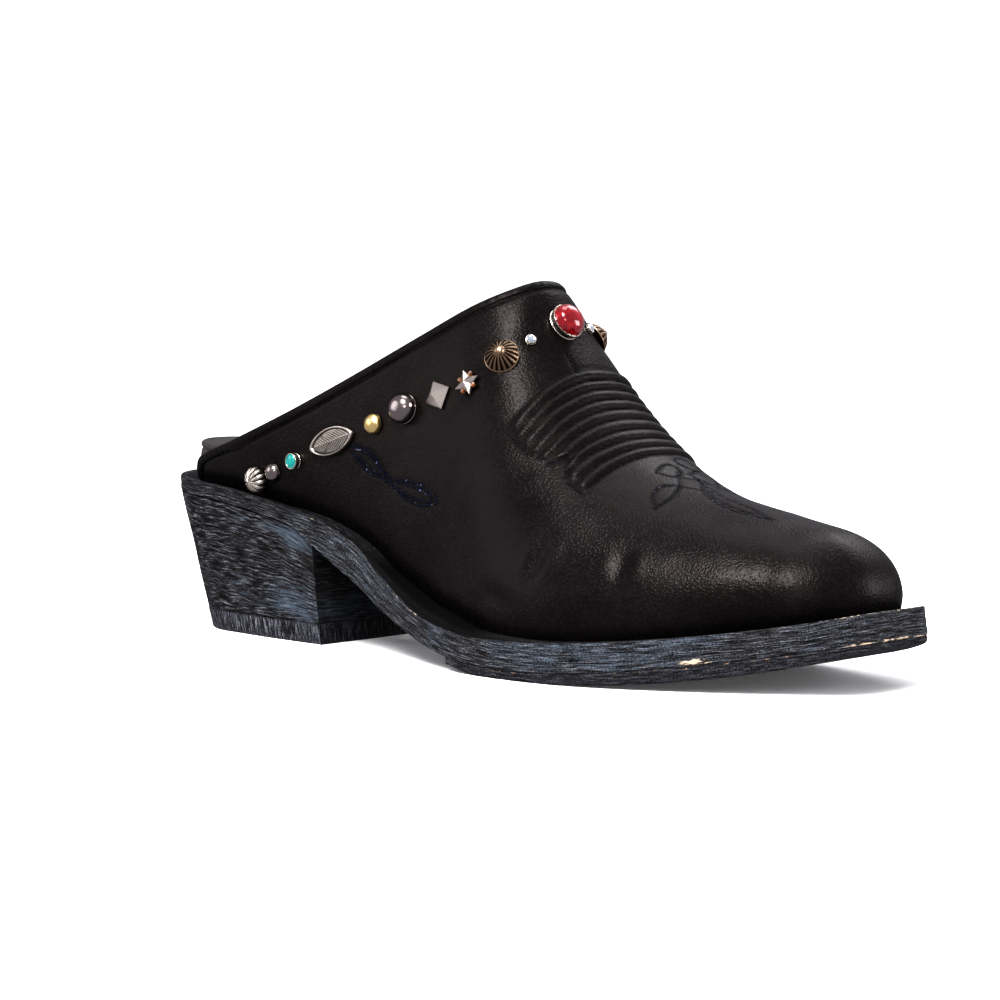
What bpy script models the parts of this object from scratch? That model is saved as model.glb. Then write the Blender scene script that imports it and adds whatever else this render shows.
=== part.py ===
"""Studded western mule: a right shoe, empty, standing on its heel and the ball of its sole.

Frame: +X to the toe, +Y to the inner (medial) side, +Z up. The origin is on the floor under the middle of the
shoe's length and width. The shape functions work in millimetres, with x counted forward from the back of the
heel seat and y from the line through the heel's middle. frame_point() turns such a point into the frame.
"""
import math

import bmesh
import bpy
from mathutils import Matrix, Vector

MM = 0.001
GAP = 0.3  # clearance between touching pieces
LATERAL, MEDIAL = -1, 1  # the signs of y on the two sides

# ---- driving dimensions, mm ----
SOLE_LENGTH = 282.0
SEAT_RADIUS = 30.0  # round back of the heel seat
TOE_CORNER = 7.5  # radius of the toe's two corners
EDGE_LEAN = 1.0  # how far the sole's edge leans out from its top to its underside
HALF_SOLE_START = 156.0
HALF_SOLE_INSET = 0.2

HEEL_BREAST = 85.0  # x of the heel's front at its top
HEEL_BREAST_LEAN = 2.5  # how much further forward it stands on the floor
HEEL_BACK_LEAN = 15.0  # how far the heel's back leans in on its way to the floor
HEEL_TAPER = 0.09  # how much narrower the heel is on the floor, as a share of its width
HEEL_INSET = 0.8  # from the sole's edge to the top of the heel
TOP_LIFT = 6.5

LEATHER = 2.0  # wall of the upper
UPPER_FRONT = 276.0  # x of the upper's front, on the sole
UPPER_BACK = 21.0  # x where both wings end
TOE_CAP = 22.0  # length of the stretch where the toe rounds down
TOE_SQUARE = 2.8  # squareness of its outline from above (2 is an ellipse)
TOE_FALL = 2.4  # squareness of its outline from the side
UPPER_CLEARANCE = 0.1  # the upper stands this much higher than the insole
LEAN_FADE = (200.0, 250.0)  # where the ridge's lean stops reaching down the inner wall
TUCK = 3.6  # how far the wall draws in where it meets the sole
TUCK_HEIGHT = 5.5

INSOLE = 3.2  # thickness of the footbed at the ball
PAD = 11.0  # and at the heel
PAD_FADE = (50.0, 105.0)  # x from which the pad thins out, and where it ends
INSOLE_BACK = 6.0
INSOLE_ROUND = 28.0  # length of its round back
INSOLE_FRONT = 256.0
INSOLE_SIDE = 3.0  # from the upper's outer foot line to the insole, past the wall

# The sole. Half widths at its underside, height of its top, of its underside, and of what treads the floor
# under it, which is the half sole from HALF_SOLE_START on.
SOLE = (
    # x, lateral, medial, top, underside, tread
    (0.0, 27.0, 28.0, 50.0, 45.4, 45.4),
    (30.0, 28.4, 29.2, 48.2, 43.6, 43.6),
    (52.0, 30.6, 30.6, 46.0, 41.3, 41.3),
    (74.0, 31.8, 30.6, 42.6, 37.2, 37.2),
    (88.0, 31.8, 29.4, 39.6, 30.1, 30.1),
    (104.0, 31.4, 27.2, 33.8, 21.2, 21.2),
    (120.0, 33.4, 27.4, 24.4, 12.6, 12.6),
    (136.0, 38.2, 31.0, 18.3, 7.7, 7.0),
    (152.0, 43.2, 37.4, 14.8, 4.6, 3.0),
    (166.0, 46.2, 42.8, 12.5, 3.3, 0.4),
    (186.0, 47.0, 46.4, 11.6, 2.9, -0.3),
    (204.0, 44.6, 46.8, 12.2, 3.6, 0.2),
    (226.0, 37.0, 43.8, 14.3, 5.9, 1.8),
    (248.0, 26.6, 38.6, 17.3, 9.3, 4.8),
    (268.0, 16.2, 32.6, 20.9, 12.6, 9.0),
    (282.0, 9.4, 28.6, 24.0, 15.2, 13.4),
)

# The last, as cross sections. Half widths at the widest height, height of the ridge, how far the ridge leans
# to the inner side, and the squareness of each half of the arch (2 is an ellipse).
LAST = (
    # x, lateral, medial, ridge, lean, lateral square, medial square
    (21.0, 24.8, 25.4, 120.0, 1.0, 2.9, 2.9),
    (45.0, 27.4, 27.6, 132.0, 2.0, 2.9, 2.9),
    (75.0, 28.6, 27.2, 141.0, 4.0, 2.6, 2.7),
    (100.0, 28.4, 25.8, 141.0, 5.5, 2.2, 2.5),
    (125.0, 30.0, 27.6, 132.0, 6.5, 1.9, 2.3),
    (148.0, 36.0, 35.0, 114.6, 7.0, 1.8, 2.25),
    (160.0, 39.8, 39.6, 96.6, 7.5, 1.9, 2.3),
    (172.0, 42.4, 42.8, 81.0, 8.0, 2.0, 2.3),
    (187.0, 43.0, 44.2, 67.6, 8.0, 2.1, 2.25),
    (203.0, 40.6, 43.6, 58.4, 7.0, 2.1, 2.15),
    (220.0, 35.2, 41.2, 52.4, 7.0, 2.1, 2.1),
    (238.0, 26.8, 37.0, 48.7, 8.5, 2.2, 2.2),
    (254.0, 18.4, 32.0, 45.2, 10.0, 2.3, 2.3),
    (268.0, 13.6, 29.0, 43.2, 11.0, 2.3, 2.3),
    (276.0, 11.6, 27.4, 42.8, 11.0, 2.3, 2.3),
)

# The topline: height of the collar's edge on each side.
TOPLINE = (
    # x, lateral, medial
    (20.0, 46.0, 46.0),
    (23.0, 54.0, 50.0),
    (27.0, 57.0, 52.0),
    (45.0, 63.0, 60.0),
    (75.0, 74.8, 73.8),
    (100.0, 86.8, 88.4),
    (120.0, 97.8, 100.0),
    (135.0, 106.6, 107.6),
    (145.0, 112.2, 112.6),
    (149.0, 115.2, 115.2),
)

# Studs on one half of the collar, from the instep to the heel, and the height of each above the floor.
STUDS = (
    # kind, x, height on the lateral and the medial side, diameter, turn in degrees
    ("crystal", 155.5, 97.2, 99.8, 3.2, 0.0),
    ("ribbed_bronze", 151.0, 92.3, 96.4, 10.5, 0.0),
    ("star", 142.2, 84.1, 84.1, 9.2, 10.0),
    ("pyramid", 131.2, 80.0, 80.0, 10.2, 54.0),
    ("gunmetal_ball", 118.2, 75.4, 75.4, 9.4, 0.0),
    ("gold_dome", 106.6, 70.4, 70.4, 6.2, 0.0),
    ("marquise", 90.4, 64.4, 64.4, 18.6, -5.5),
    ("turquoise", 73.9, 57.4, 57.4, 5.2, 0.0),
    ("gunmetal_dot", 63.4, 53.2, 53.2, 6.0, 0.0),
    ("ribbed_silver", 55.9, 50.6, 50.6, 8.8, 0.0),
)
RED_CABOCHON = {"x": 156.8, "across": 0.0, "diameter": 11.4}
COLLAR_SLOPE = 0.46  # of the row of studs

# Turned studs, as outlines from the rim of the base to the middle of the top, in stud radii.
OUTLINES = {
    "crystal": ((1.0, 0.0), (1.0, 0.35), (0.8, 0.7), (0.45, 0.95)),
    "ribbed_bronze": ((1.0, 0.0), (1.0, 0.12), (0.8, 0.4), (0.5, 0.66), (0.3, 0.76), (0.22, 0.9)),
    "gunmetal_ball": ((1.0, 0.0), (1.0, 0.2), (0.9, 0.5), (0.7, 0.78), (0.38, 0.97)),
    "gold_dome": ((1.0, 0.0), (0.98, 0.2), (0.8, 0.5), (0.45, 0.72)),
    "turquoise": ((1.0, 0.0), (1.0, 0.7), (0.84, 0.78), (0.6, 0.92), (0.3, 1.0)),
    "gunmetal_dot": ((1.0, 0.0), (0.95, 0.3), (0.7, 0.62), (0.35, 0.8)),
    "ribbed_silver": ((0.8, 0.0), (1.0, 0.22), (0.98, 0.5), (0.75, 0.82), (0.35, 1.0)),
    "red_cabochon": ((1.0, 0.0), (1.0, 0.4), (0.86, 0.46), (0.82, 0.7), (0.6, 0.94), (0.3, 1.04)),
}
TOP_HEIGHTS = {
    "crystal": 1.0, "ribbed_bronze": 0.94, "gunmetal_ball": 1.03, "gold_dome": 0.8, "turquoise": 1.03,
    "gunmetal_dot": 0.85, "ribbed_silver": 1.06, "red_cabochon": 1.08,
}
STUD_STEPS = 16
MARQUISE = {"width": 0.47, "pointed": 1.35, "height": 1.6}  # share of its length, and mm
PYRAMID_HEIGHT = 3.4
STAR = {"points": 4, "inner": 0.5, "rim": 0.5, "height": 2.4}

SEAT_START = 0.25  # x of the short flat at the back of the heel seat
SOLE_STATIONS = 52
HEEL_STATIONS = 16
HEEL_LEVELS = 5
LAST_LINES = 28  # lines along the upper, across one arch, closer together at its foot
LAST_ROWS = 40  # arches from the topline to the toe
CAP_ROWS = 9  # of them on the toe cap

# Colour (linear), roughness and metallic of each material.
FINISHES = {
    "black_leather": ((0.012, 0.011, 0.011), 0.5, 0.0),
    "painted_sole_leather": ((0.045, 0.055, 0.065), 0.7, 0.0),
    "dark_rubber": ((0.02, 0.02, 0.021), 0.8, 0.0),
    "insole_leather": ((0.02, 0.02, 0.02), 0.5, 0.0),
    "silver": ((0.6, 0.58, 0.55), 0.35, 1.0),
    "bronze": ((0.25, 0.17, 0.1), 0.45, 1.0),
    "gunmetal": ((0.12, 0.11, 0.11), 0.25, 1.0),
    "brass": ((0.72, 0.5, 0.18), 0.35, 1.0),
    "red_stone": ((0.35, 0.01, 0.02), 0.15, 0.0),
    "turquoise_stone": ((0.02, 0.35, 0.33), 0.4, 0.0),
    "crystal_glass": ((0.8, 0.8, 0.85), 0.05, 0.0),
}
STUD_FINISH = {"crystal": "crystal_glass", "ribbed_bronze": "bronze", "star": "silver", "pyramid": "silver",
               "gunmetal_ball": "gunmetal", "gold_dome": "brass", "marquise": "silver",
               "turquoise": "turquoise_stone", "gunmetal_dot": "gunmetal", "ribbed_silver": "silver",
               "red_cabochon": "red_stone"}


# ---- shape functions, in millimetres ----
def smooth(rows, column, x):
    """The cubic curve through one column of a table, whose first column is x."""
    last = len(rows) - 1
    k = 0
    while k < last - 1 and x > rows[k + 1][0]:
        k += 1

    def slope(i):
        low, high = rows[max(i - 1, 0)], rows[min(i + 1, last)]
        return (high[column] - low[column]) / (high[0] - low[0])

    low, high = rows[k], rows[k + 1]
    span = high[0] - low[0]
    t = min(max((x - low[0]) / span, 0.0), 1.0)
    return ((2 * t**3 - 3 * t**2 + 1) * low[column] + (t**3 - 2 * t**2 + t) * span * slope(k)
            + (3 * t**2 - 2 * t**3) * high[column] + (t**3 - t**2) * span * slope(k + 1))


def fade(x, span):
    """1 before a span of x, 0 after it, and a soft slope between them."""
    t = min(max((x - span[0]) / (span[1] - span[0]), 0.0), 1.0)
    return 1 - 3 * t**2 + 2 * t**3


def sole_half(x, side):
    """Half width of the sole at x, on one side. Its back is round, and so are the two corners of its toe."""
    half = smooth(SOLE, 1 if side == LATERAL else 2, x)
    if x < SEAT_RADIUS:
        half *= math.sqrt(max(1 - ((SEAT_RADIUS - x) / SEAT_RADIUS) ** 2, 0.0))
    corner = max(x - (SOLE_LENGTH - TOE_CORNER), 0.0)
    return half - TOE_CORNER + math.sqrt(TOE_CORNER**2 - corner**2)


def sole_top(x):
    return smooth(SOLE, 3, x)


def sole_underside(x):
    return smooth(SOLE, 4, x)


def tread(x):
    """Underside of the half sole. It is flat where the ball of the shoe rests on the floor."""
    return max(smooth(SOLE, 5, x), 0.0)


def stations(start, end, count, round_start=False, round_end=False):
    """Values of x from start to end, closer together at a rounded end."""
    out = []
    for i in range(count):
        t = i / (count - 1)
        if round_start and round_end:
            t = (1 - math.cos(math.pi * t)) / 2
        elif round_start:
            t = 1 - math.cos(math.pi * t / 2)
        elif round_end:
            t = math.sin(math.pi * t / 2)
        out.append(start + (end - start) * t)
    return out


def closed_outline(xs, half, inset):
    """An outline through half(x, side), counter-clockwise: its outer side forward, then its inner side back.
    It is drawn in by inset."""
    points = [Vector((x, -half(x, LATERAL))) for x in xs]
    points += [Vector((x, half(x, MEDIAL))) for x in reversed(xs)]
    out = []
    for i, point in enumerate(points):
        along = points[(i + 1) % len(points)] - points[i - 1]
        out.append(point + Vector((-along.y, along.x)).normalized() * inset)
    return out


def foot_line(x):
    """Height at which the upper and the insole stand on the sole."""
    return sole_top(x) + GAP


def last_point(across, x):
    """A point of the upper's outer face: across runs from -1, the outer foot line, over 0, the ridge, to 1.
    On the toe cap, x counts along the ridge, and the lines at its sides stop short of it."""
    side = LATERAL if across < 0 else MEDIAL
    angle = abs(across) * math.pi / 2
    power = 2 / smooth(LAST, 5 if side == LATERAL else 6, x)
    up = math.cos(angle) ** power if abs(across) < 1 else 0.0
    out = math.sin(angle) ** power
    toe = max((x - UPPER_FRONT + TOE_CAP) / TOE_CAP, 0.0)
    reach = toe * (1 - out**TOE_SQUARE) ** (1 / TOE_SQUARE)
    x = min(x, UPPER_FRONT - TOE_CAP) + TOE_CAP * reach
    foot = foot_line(x) + UPPER_CLEARANCE
    rise = (smooth(LAST, 3, x) - foot) * math.sqrt(1 - toe**TOE_FALL) * up
    lean = smooth(LAST, 4, x) * up ** (2 - fade(x, LEAN_FADE))
    tuck = TUCK * math.exp(-rise / TUCK_HEIGHT)
    y = side * out * (smooth(LAST, 1 if side == LATERAL else 2, x) - tuck) + lean
    return Vector((x - tuck * reach, y, foot + rise))


def topline(x, side):
    return smooth(TOPLINE, 1 if side == LATERAL else 2, x)


def topline_start(across):
    """x at which a line along the upper leaves the topline."""
    side = LATERAL if across < 0 else MEDIAL
    low, high = UPPER_BACK, TOPLINE[-1][0]
    for _ in range(40):
        middle = (low + high) / 2
        if last_point(across, middle).z > topline(middle, side):
            low = middle
        else:
            high = middle
    return high if abs(across) < 1 else UPPER_BACK


def last_normal(across, x):
    """The outward direction of the upper's outer face."""
    step_across = last_point(across + 0.005, x) - last_point(across - 0.005, x)
    step_along = last_point(across, x + 0.5) - last_point(across, x - 0.5)
    return step_along.cross(step_across).normalized()


def across_at_height(x, height, side):
    """Where on the arch at x the outer face has a height."""
    low, high = 0.0, 1.0
    for _ in range(40):
        middle = (low + high) / 2
        if last_point(side * middle, x).z > height:
            low = middle
        else:
            high = middle
    return side * high


# ---- from millimetres to the frame ----
HALF_WIDTHS = [(sole_half(x, LATERAL), sole_half(x, MEDIAL)) for x in range(int(SOLE_LENGTH))]
WIDEST_LATERAL, WIDEST_MEDIAL = (max(row[i] for row in HALF_WIDTHS) for i in (0, 1))
MIDDLE = Vector((SOLE_LENGTH / 2, (WIDEST_MEDIAL - WIDEST_LATERAL) / 2, 0))


def frame_point(point):
    return (Vector(point) - MIDDLE) * MM


# ---- building ----
def material(name):
    found = bpy.data.materials.get(name)
    if found:
        return found
    colour, roughness, metallic = FINISHES[name]
    made = bpy.data.materials.new(name)
    made.use_nodes = True
    shader = made.node_tree.nodes["Principled BSDF"]
    shader.inputs["Base Color"].default_value = (*colour, 1.0)
    shader.inputs["Roughness"].default_value = roughness
    shader.inputs["Metallic"].default_value = metallic
    made.diffuse_color = (*colour, 1.0)
    return made


def add_object(name, mesh, finish, sharp=35.0):
    mesh.materials.append(material(finish))
    mesh.shade_smooth()
    mesh.set_sharp_from_angle(angle=math.radians(sharp))
    made = bpy.data.objects.new(name, mesh)
    parts.objects.link(made)
    return made


def mesh_from(name, points, faces):
    mesh = bpy.data.meshes.new(name)
    mesh.from_pydata(points, [], faces)
    mesh.validate()
    return mesh


def stack(name, rings, finish):
    """A closed solid through outlines stacked from the bottom up, each with its outer side forward and its
    inner side back. Its top and bottom are strips from side to side."""
    size = len(rings[0])
    points = [frame_point(point) for ring in rings for point in ring]
    faces = []
    for level in range(len(rings) - 1):
        low, high = level * size, (level + 1) * size
        for i in range(size):
            j = (i + 1) % size
            faces.append((low + i, low + j, high + j, high + i))
    top = (len(rings) - 1) * size
    for i in range(size // 2 - 1):
        strip = (i, i + 1, size - 2 - i, size - 1 - i)
        faces.append(tuple(top + k for k in strip))
        faces.append(tuple(reversed(strip)))
    return add_object(name, mesh_from(name, points, faces), finish)


def lifted(outline, height):
    return [(x, y, height(x)) for x, y in outline]


def make_outsole():
    """The sole, from the heel seat to the toe, with an edge that leans out a little at its foot."""
    xs = stations(SEAT_START, SOLE_LENGTH, SOLE_STATIONS, round_start=True, round_end=True)
    rings = []
    for share, rounding in ((0.0, 0.5), (0.1, 0.0), (0.9, 0.0), (1.0, 0.5)):
        outline = closed_outline(xs, sole_half, EDGE_LEAN * share + rounding)
        rings.append(lifted(outline, lambda x, s=share: sole_underside(x) * (1 - s) + sole_top(x) * s))
    return stack("outsole", rings, "painted_sole_leather")


def make_half_sole():
    """The tread under the forefoot, with a step at its start, thinning out towards the toe."""
    xs = stations(HALF_SOLE_START, SOLE_LENGTH, SOLE_STATIONS - 8, round_end=True)
    rings = []
    for share, rounding in ((0.0, 0.4), (1.0, 0.0)):
        outline = closed_outline(xs, sole_half, HALF_SOLE_INSET + rounding)
        rings.append(lifted(outline, lambda x, s=share: tread(x) * (1 - s) + (sole_underside(x) - GAP) * s))
    return stack("half_sole", rings, "dark_rubber")


def heel_point(plan, height):
    """A point of the heel's side, at a height, straight below or above a point of its plan at the seat."""
    fall = 1 - height / sole_underside(0.0)
    along = plan.x / HEEL_BREAST
    lean = HEEL_BACK_LEAN * (1 - along) + HEEL_BREAST_LEAN * along
    return plan.x + lean * fall, plan.y * (1 - HEEL_TAPER * fall), height


def heel_top_point(plan):
    """Where a line up the heel's side meets the sole."""
    height = sole_underside(plan.x) - GAP
    for _ in range(8):
        height = sole_underside(heel_point(plan, height)[0]) - GAP
    return heel_point(plan, height)


def make_heel():
    """The stacked heel, leaning in at its back, and the lift that it stands on."""
    xs = stations(SEAT_START, HEEL_BREAST, HEEL_STATIONS, round_start=True)
    plan = closed_outline(xs, sole_half, HEEL_INSET)
    foot = closed_outline(xs, sole_half, HEEL_INSET + 0.5)
    lift = [[heel_point(point, 0.0) for point in foot]]
    lift += [[heel_point(point, height) for point in plan] for height in (0.8, TOP_LIFT - GAP)]
    stack("heel_top_lift", lift, "dark_rubber")

    tops = [heel_top_point(point) for point in plan]
    rings = []
    for level in range(HEEL_LEVELS):
        share = level / (HEEL_LEVELS - 1)
        rings.append([heel_point(point, TOP_LIFT * (1 - share) + top[2] * share)
                      for point, top in zip(plan, tops)])
    stack("heel_block", rings, "painted_sole_leather")


def insole_half(x, side):
    """Half width of the insole: round at the back, and further on inside the upper's wall."""
    rounded = INSOLE_BACK + INSOLE_ROUND
    half = smooth(LAST, 1 if side == LATERAL else 2, max(x, rounded)) - TUCK - INSOLE_SIDE
    return half * math.sqrt(1 - max((rounded - x) / INSOLE_ROUND, 0.0) ** 2)


def insole_thickness(x):
    """The heel pad is thick, and thins out to the forefoot."""
    return INSOLE + (PAD - INSOLE) * fade(x, PAD_FADE)


def make_insole():
    """The padded footbed, with rounded edges."""
    xs = stations(INSOLE_BACK + 0.25, INSOLE_FRONT, SOLE_STATIONS, round_start=True)
    rings = []
    for share, inset in ((0.0, 0.8), (0.2, 0.0), (0.7, 0.0), (0.92, 0.9), (1.0, 2.8)):
        outline = closed_outline(xs, insole_half, inset)
        rings.append(lifted(outline, lambda x, s=share: foot_line(x) + insole_thickness(x) * s))
    return stack("insole", rings, "insole_leather")


def make_upper():
    """One leather shell over the last, from the topline to the toe: a grid of its outer face, given a wall."""
    points, faces = [], []
    cap_start = UPPER_FRONT - TOE_CAP
    for line in range(LAST_LINES + 1):
        across = math.sin((2 * line / LAST_LINES - 1) * math.pi / 2)
        body = stations(topline_start(across), cap_start, LAST_ROWS - CAP_ROWS)
        cap = stations(cap_start, UPPER_FRONT, CAP_ROWS + 1, round_end=True)[1:]
        points += [frame_point(last_point(across, x)) for x in body + cap]
    for line in range(LAST_LINES):
        for row in range(LAST_ROWS - 1):
            first = line * LAST_ROWS + row
            faces.append((first, first + 1, first + LAST_ROWS + 1, first + LAST_ROWS))
    shell = bmesh.new()
    shell.from_mesh(mesh_from("upper", points, faces))
    bmesh.ops.remove_doubles(shell, verts=shell.verts, dist=0.01 * MM)
    mesh = bpy.data.meshes.new("upper")
    shell.to_mesh(mesh)
    upper = add_object("upper", mesh, "black_leather", sharp=60.0)
    wall = upper.modifiers.new("wall", "SOLIDIFY")
    wall.thickness = LEATHER * MM
    wall.offset = -1.0
    wall.use_quality_normals = True
    return upper


# ---- studs ----
def turned(name, kind, radius, finish):
    """A turned stud: its outline, from the middle of its top down to its base, turned about Z."""
    outline = [(0.0, TOP_HEIGHTS[kind])] + list(reversed(OUTLINES[kind])) + [(0.0, 0.0)]
    points = [(x * radius * MM, 0.0, z * radius * MM) for x, z in outline]
    mesh = bpy.data.meshes.new(name)
    mesh.from_pydata(points, [(i, i + 1) for i in range(len(points) - 1)], [])
    made = add_object(name, mesh, finish, sharp=40.0)
    screw = made.modifiers.new("turn", "SCREW")
    screw.steps = STUD_STEPS
    screw.render_steps = STUD_STEPS
    screw.use_merge_vertices = True
    screw.merge_threshold = 0.00001
    return made


def faceted(name, outline, levels, finish):
    """A stud on an outline, repeated at levels of scale and height, with a point where the scale is 0."""
    count = len(outline)
    points, faces = [], [tuple(reversed(range(count)))]
    for level, (scale, height) in enumerate(levels):
        base = (level - 1) * count
        if scale == 0.0:
            points.append((0.0, 0.0, height * MM))
            faces += [(base + i, base + (i + 1) % count, base + count) for i in range(count)]
            break
        points += [(x * scale * MM, y * scale * MM, height * MM) for x, y in outline]
        if level:
            faces += [(base + i, base + (i + 1) % count, base + count + (i + 1) % count, base + count + i)
                      for i in range(count)]
    else:
        last = (len(levels) - 1) * count
        faces.append(tuple(range(last, last + count)))
    return add_object(name, mesh_from(name, points, faces), finish, sharp=20.0)


def make_stud(name, kind, diameter):
    finish = STUD_FINISH[kind]
    radius = diameter / 2
    if kind == "pyramid":
        corner = radius * math.sqrt(0.5)
        outline = [(-corner, -corner), (corner, -corner), (corner, corner), (-corner, corner)]
        return faceted(name, outline, ((1.0, 0.0), (1.0, 0.6), (0.0, PYRAMID_HEIGHT)), finish)
    if kind == "star":
        count = 2 * STAR["points"]
        radii = [radius * (STAR["inner"] if i % 2 else 1.0) for i in range(count)]
        outline = [(r * math.cos(math.tau * i / count), r * math.sin(math.tau * i / count))
                   for i, r in enumerate(radii)]
        return faceted(name, outline, ((1.0, 0.0), (1.0, STAR["rim"]), (0.0, STAR["height"])), finish)
    if kind == "marquise":
        half_width = radius * MARQUISE["width"]
        count = 20
        outline = []
        for i in range(count):
            angle = math.tau * i / count
            across = math.copysign(abs(math.sin(angle)) ** MARQUISE["pointed"], math.sin(angle))
            outline.append((radius * math.cos(angle), half_width * across))
        high = MARQUISE["height"]
        levels = ((1.0, 0.0), (1.0, high * 0.6), (0.93, high), (0.86, high), (0.8, high * 0.75))
        return faceted(name, outline, levels, finish)
    return turned(name, kind, radius, finish)


def seat_stud(stud, across, x, turn):
    """Stand a stud on the upper, just clear of it, and turn it from the topline's direction."""
    normal = last_normal(across, x)
    forward = Vector((1.0, 0.0, COLLAR_SLOPE))
    forward = (forward - normal * forward.dot(normal)).normalized()
    axes = Matrix((forward, normal.cross(forward), normal)).transposed()
    place = frame_point(last_point(across, x) + normal * GAP)
    spin = Matrix.Rotation(math.radians(turn), 4, "Z")
    stud.matrix_world = Matrix.Translation(place) @ axes.to_4x4() @ spin


def make_studs():
    """One row of studs on each side of the collar, and a red cabochon in the middle of the instep."""
    for side, word in ((LATERAL, "lateral"), (MEDIAL, "medial")):
        for kind, x, lateral_height, medial_height, diameter, turn in STUDS:
            height = lateral_height if side == LATERAL else medial_height
            stud = make_stud(f"stud_{word}_{kind}", kind, diameter)
            seat_stud(stud, across_at_height(x, height, side), x, -side * turn)
    red = make_stud("stud_red_cabochon", "red_cabochon", RED_CABOCHON["diameter"])
    seat_stud(red, RED_CABOCHON["across"], RED_CABOCHON["x"], 0.0)


for old in list(bpy.data.objects):
    bpy.data.objects.remove(old)
parts = bpy.data.collections.new("western_mule")
bpy.context.scene.collection.children.link(parts)
make_outsole()
make_half_sole()
make_heel()
make_insole()
make_upper()
make_studs()
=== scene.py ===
import math

import bmesh
import bpy
import numpy as np
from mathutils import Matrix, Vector, noise


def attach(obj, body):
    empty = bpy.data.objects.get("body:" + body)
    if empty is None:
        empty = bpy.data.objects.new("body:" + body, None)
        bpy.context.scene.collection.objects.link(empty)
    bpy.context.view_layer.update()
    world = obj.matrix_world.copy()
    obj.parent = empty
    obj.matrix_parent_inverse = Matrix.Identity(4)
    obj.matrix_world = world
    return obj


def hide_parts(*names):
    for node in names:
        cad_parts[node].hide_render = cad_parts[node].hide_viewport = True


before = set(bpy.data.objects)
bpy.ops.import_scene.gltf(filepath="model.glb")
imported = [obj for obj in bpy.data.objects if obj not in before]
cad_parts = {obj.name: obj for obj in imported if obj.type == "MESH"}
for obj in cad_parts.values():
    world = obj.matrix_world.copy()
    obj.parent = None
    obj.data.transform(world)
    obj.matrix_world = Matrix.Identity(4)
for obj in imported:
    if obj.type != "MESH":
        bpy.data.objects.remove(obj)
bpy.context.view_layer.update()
print("frame loaded,", len(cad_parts), "nodes")

mm = 0.001
lateral, medial = -1, 1  # the two sides, as signs of y

# the sole in mm: x from the heel seat's back, half widths, heights of its top, its underside and the tread
soleRows = np.array((
    (0, 27.0, 28.0, 50.0, 45.4, 45.4),
    (30, 28.4, 29.2, 48.2, 43.6, 43.6),
    (52, 30.6, 30.6, 46.0, 41.3, 41.3),
    (74, 31.8, 30.6, 42.6, 37.2, 37.2),
    (88, 31.8, 29.4, 39.6, 30.1, 30.1),
    (104, 31.4, 27.2, 33.8, 21.2, 21.2),
    (120, 33.4, 27.4, 24.4, 12.6, 12.6),
    (136, 38.2, 31.0, 18.3, 7.7, 7.0),
    (152, 43.2, 37.4, 14.8, 4.6, 3.0),
    (166, 46.2, 42.8, 12.5, 3.3, 0.4),
    (186, 47.0, 46.4, 11.6, 2.9, -0.3),
    (204, 44.6, 46.8, 12.2, 3.6, 0.2),
    (226, 37.0, 43.8, 14.3, 5.9, 1.8),
    (248, 26.6, 38.6, 17.3, 9.3, 4.8),
    (268, 16.2, 32.6, 20.9, 12.6, 9.0),
    (282, 9.4, 28.6, 24.0, 15.2, 13.4)), float)

# the last in mm: x, half widths, height of its ridge, lean of the ridge, and how square each side's arch is
lastRows = np.array((
    (21, 24.8, 25.4, 120, 1.0, 2.9, 2.9),
    (45, 27.4, 27.6, 132, 2.0, 2.9, 2.9),
    (75, 28.6, 27.2, 141, 4.0, 2.6, 2.7),
    (100, 28.4, 25.8, 141, 5.5, 2.2, 2.5),
    (125, 30.0, 27.6, 132, 6.5, 1.9, 2.3),
    (148, 36.0, 35.0, 114.6, 7.0, 1.8, 2.25),
    (160, 39.8, 39.6, 96.6, 7.5, 1.9, 2.3),
    (172, 42.4, 42.8, 81.0, 8.0, 2.0, 2.3),
    (187, 43.0, 44.2, 67.6, 8.0, 2.1, 2.25),
    (203, 40.6, 43.6, 58.4, 7.0, 2.1, 2.15),
    (220, 35.2, 41.2, 52.4, 7.0, 2.1, 2.1),
    (238, 26.8, 37.0, 48.7, 8.5, 2.2, 2.2),
    (254, 18.4, 32.0, 45.2, 10.0, 2.3, 2.3),
    (268, 13.6, 29.0, 43.2, 11.0, 2.3, 2.3),
    (276, 11.6, 27.4, 42.8, 11.0, 2.3, 2.3)), float)

# the topline in mm: x, and its height on each side
toplineRows = np.array((
    (20, 46.0, 46.0),
    (23, 54.0, 50.0),
    (27, 57.0, 52.0),
    (45, 63.0, 60.0),
    (75, 74.8, 73.8),
    (100, 86.8, 88.4),
    (120, 97.8, 100.0),
    (135, 106.6, 107.6),
    (145, 112.2, 112.6),
    (149, 115.2, 115.2)), float)

shoe = {
    "soleLength": 282.0, "seatRadius": 30.0, "seatStart": 0.25, "toeCorner": 7.5,
    "upperBack": 21.0, "upperFront": 276.0, "toeCap": 22.0, "toeSquare": 2.8, "capFall": 2.4, "peak": 149.0,
    "leanFade": (200.0, 250.0),  # towards the toe the ridge's lean dies out faster down the sides
    "tuck": 3.6, "tuckHeight": 5.5, "tuckEase": 0.6,  # how the leather turns in at the sole, less at the toe
    "gap": 0.3, "footGap": 0.4,  # left between pieces, and under the upper
}


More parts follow.
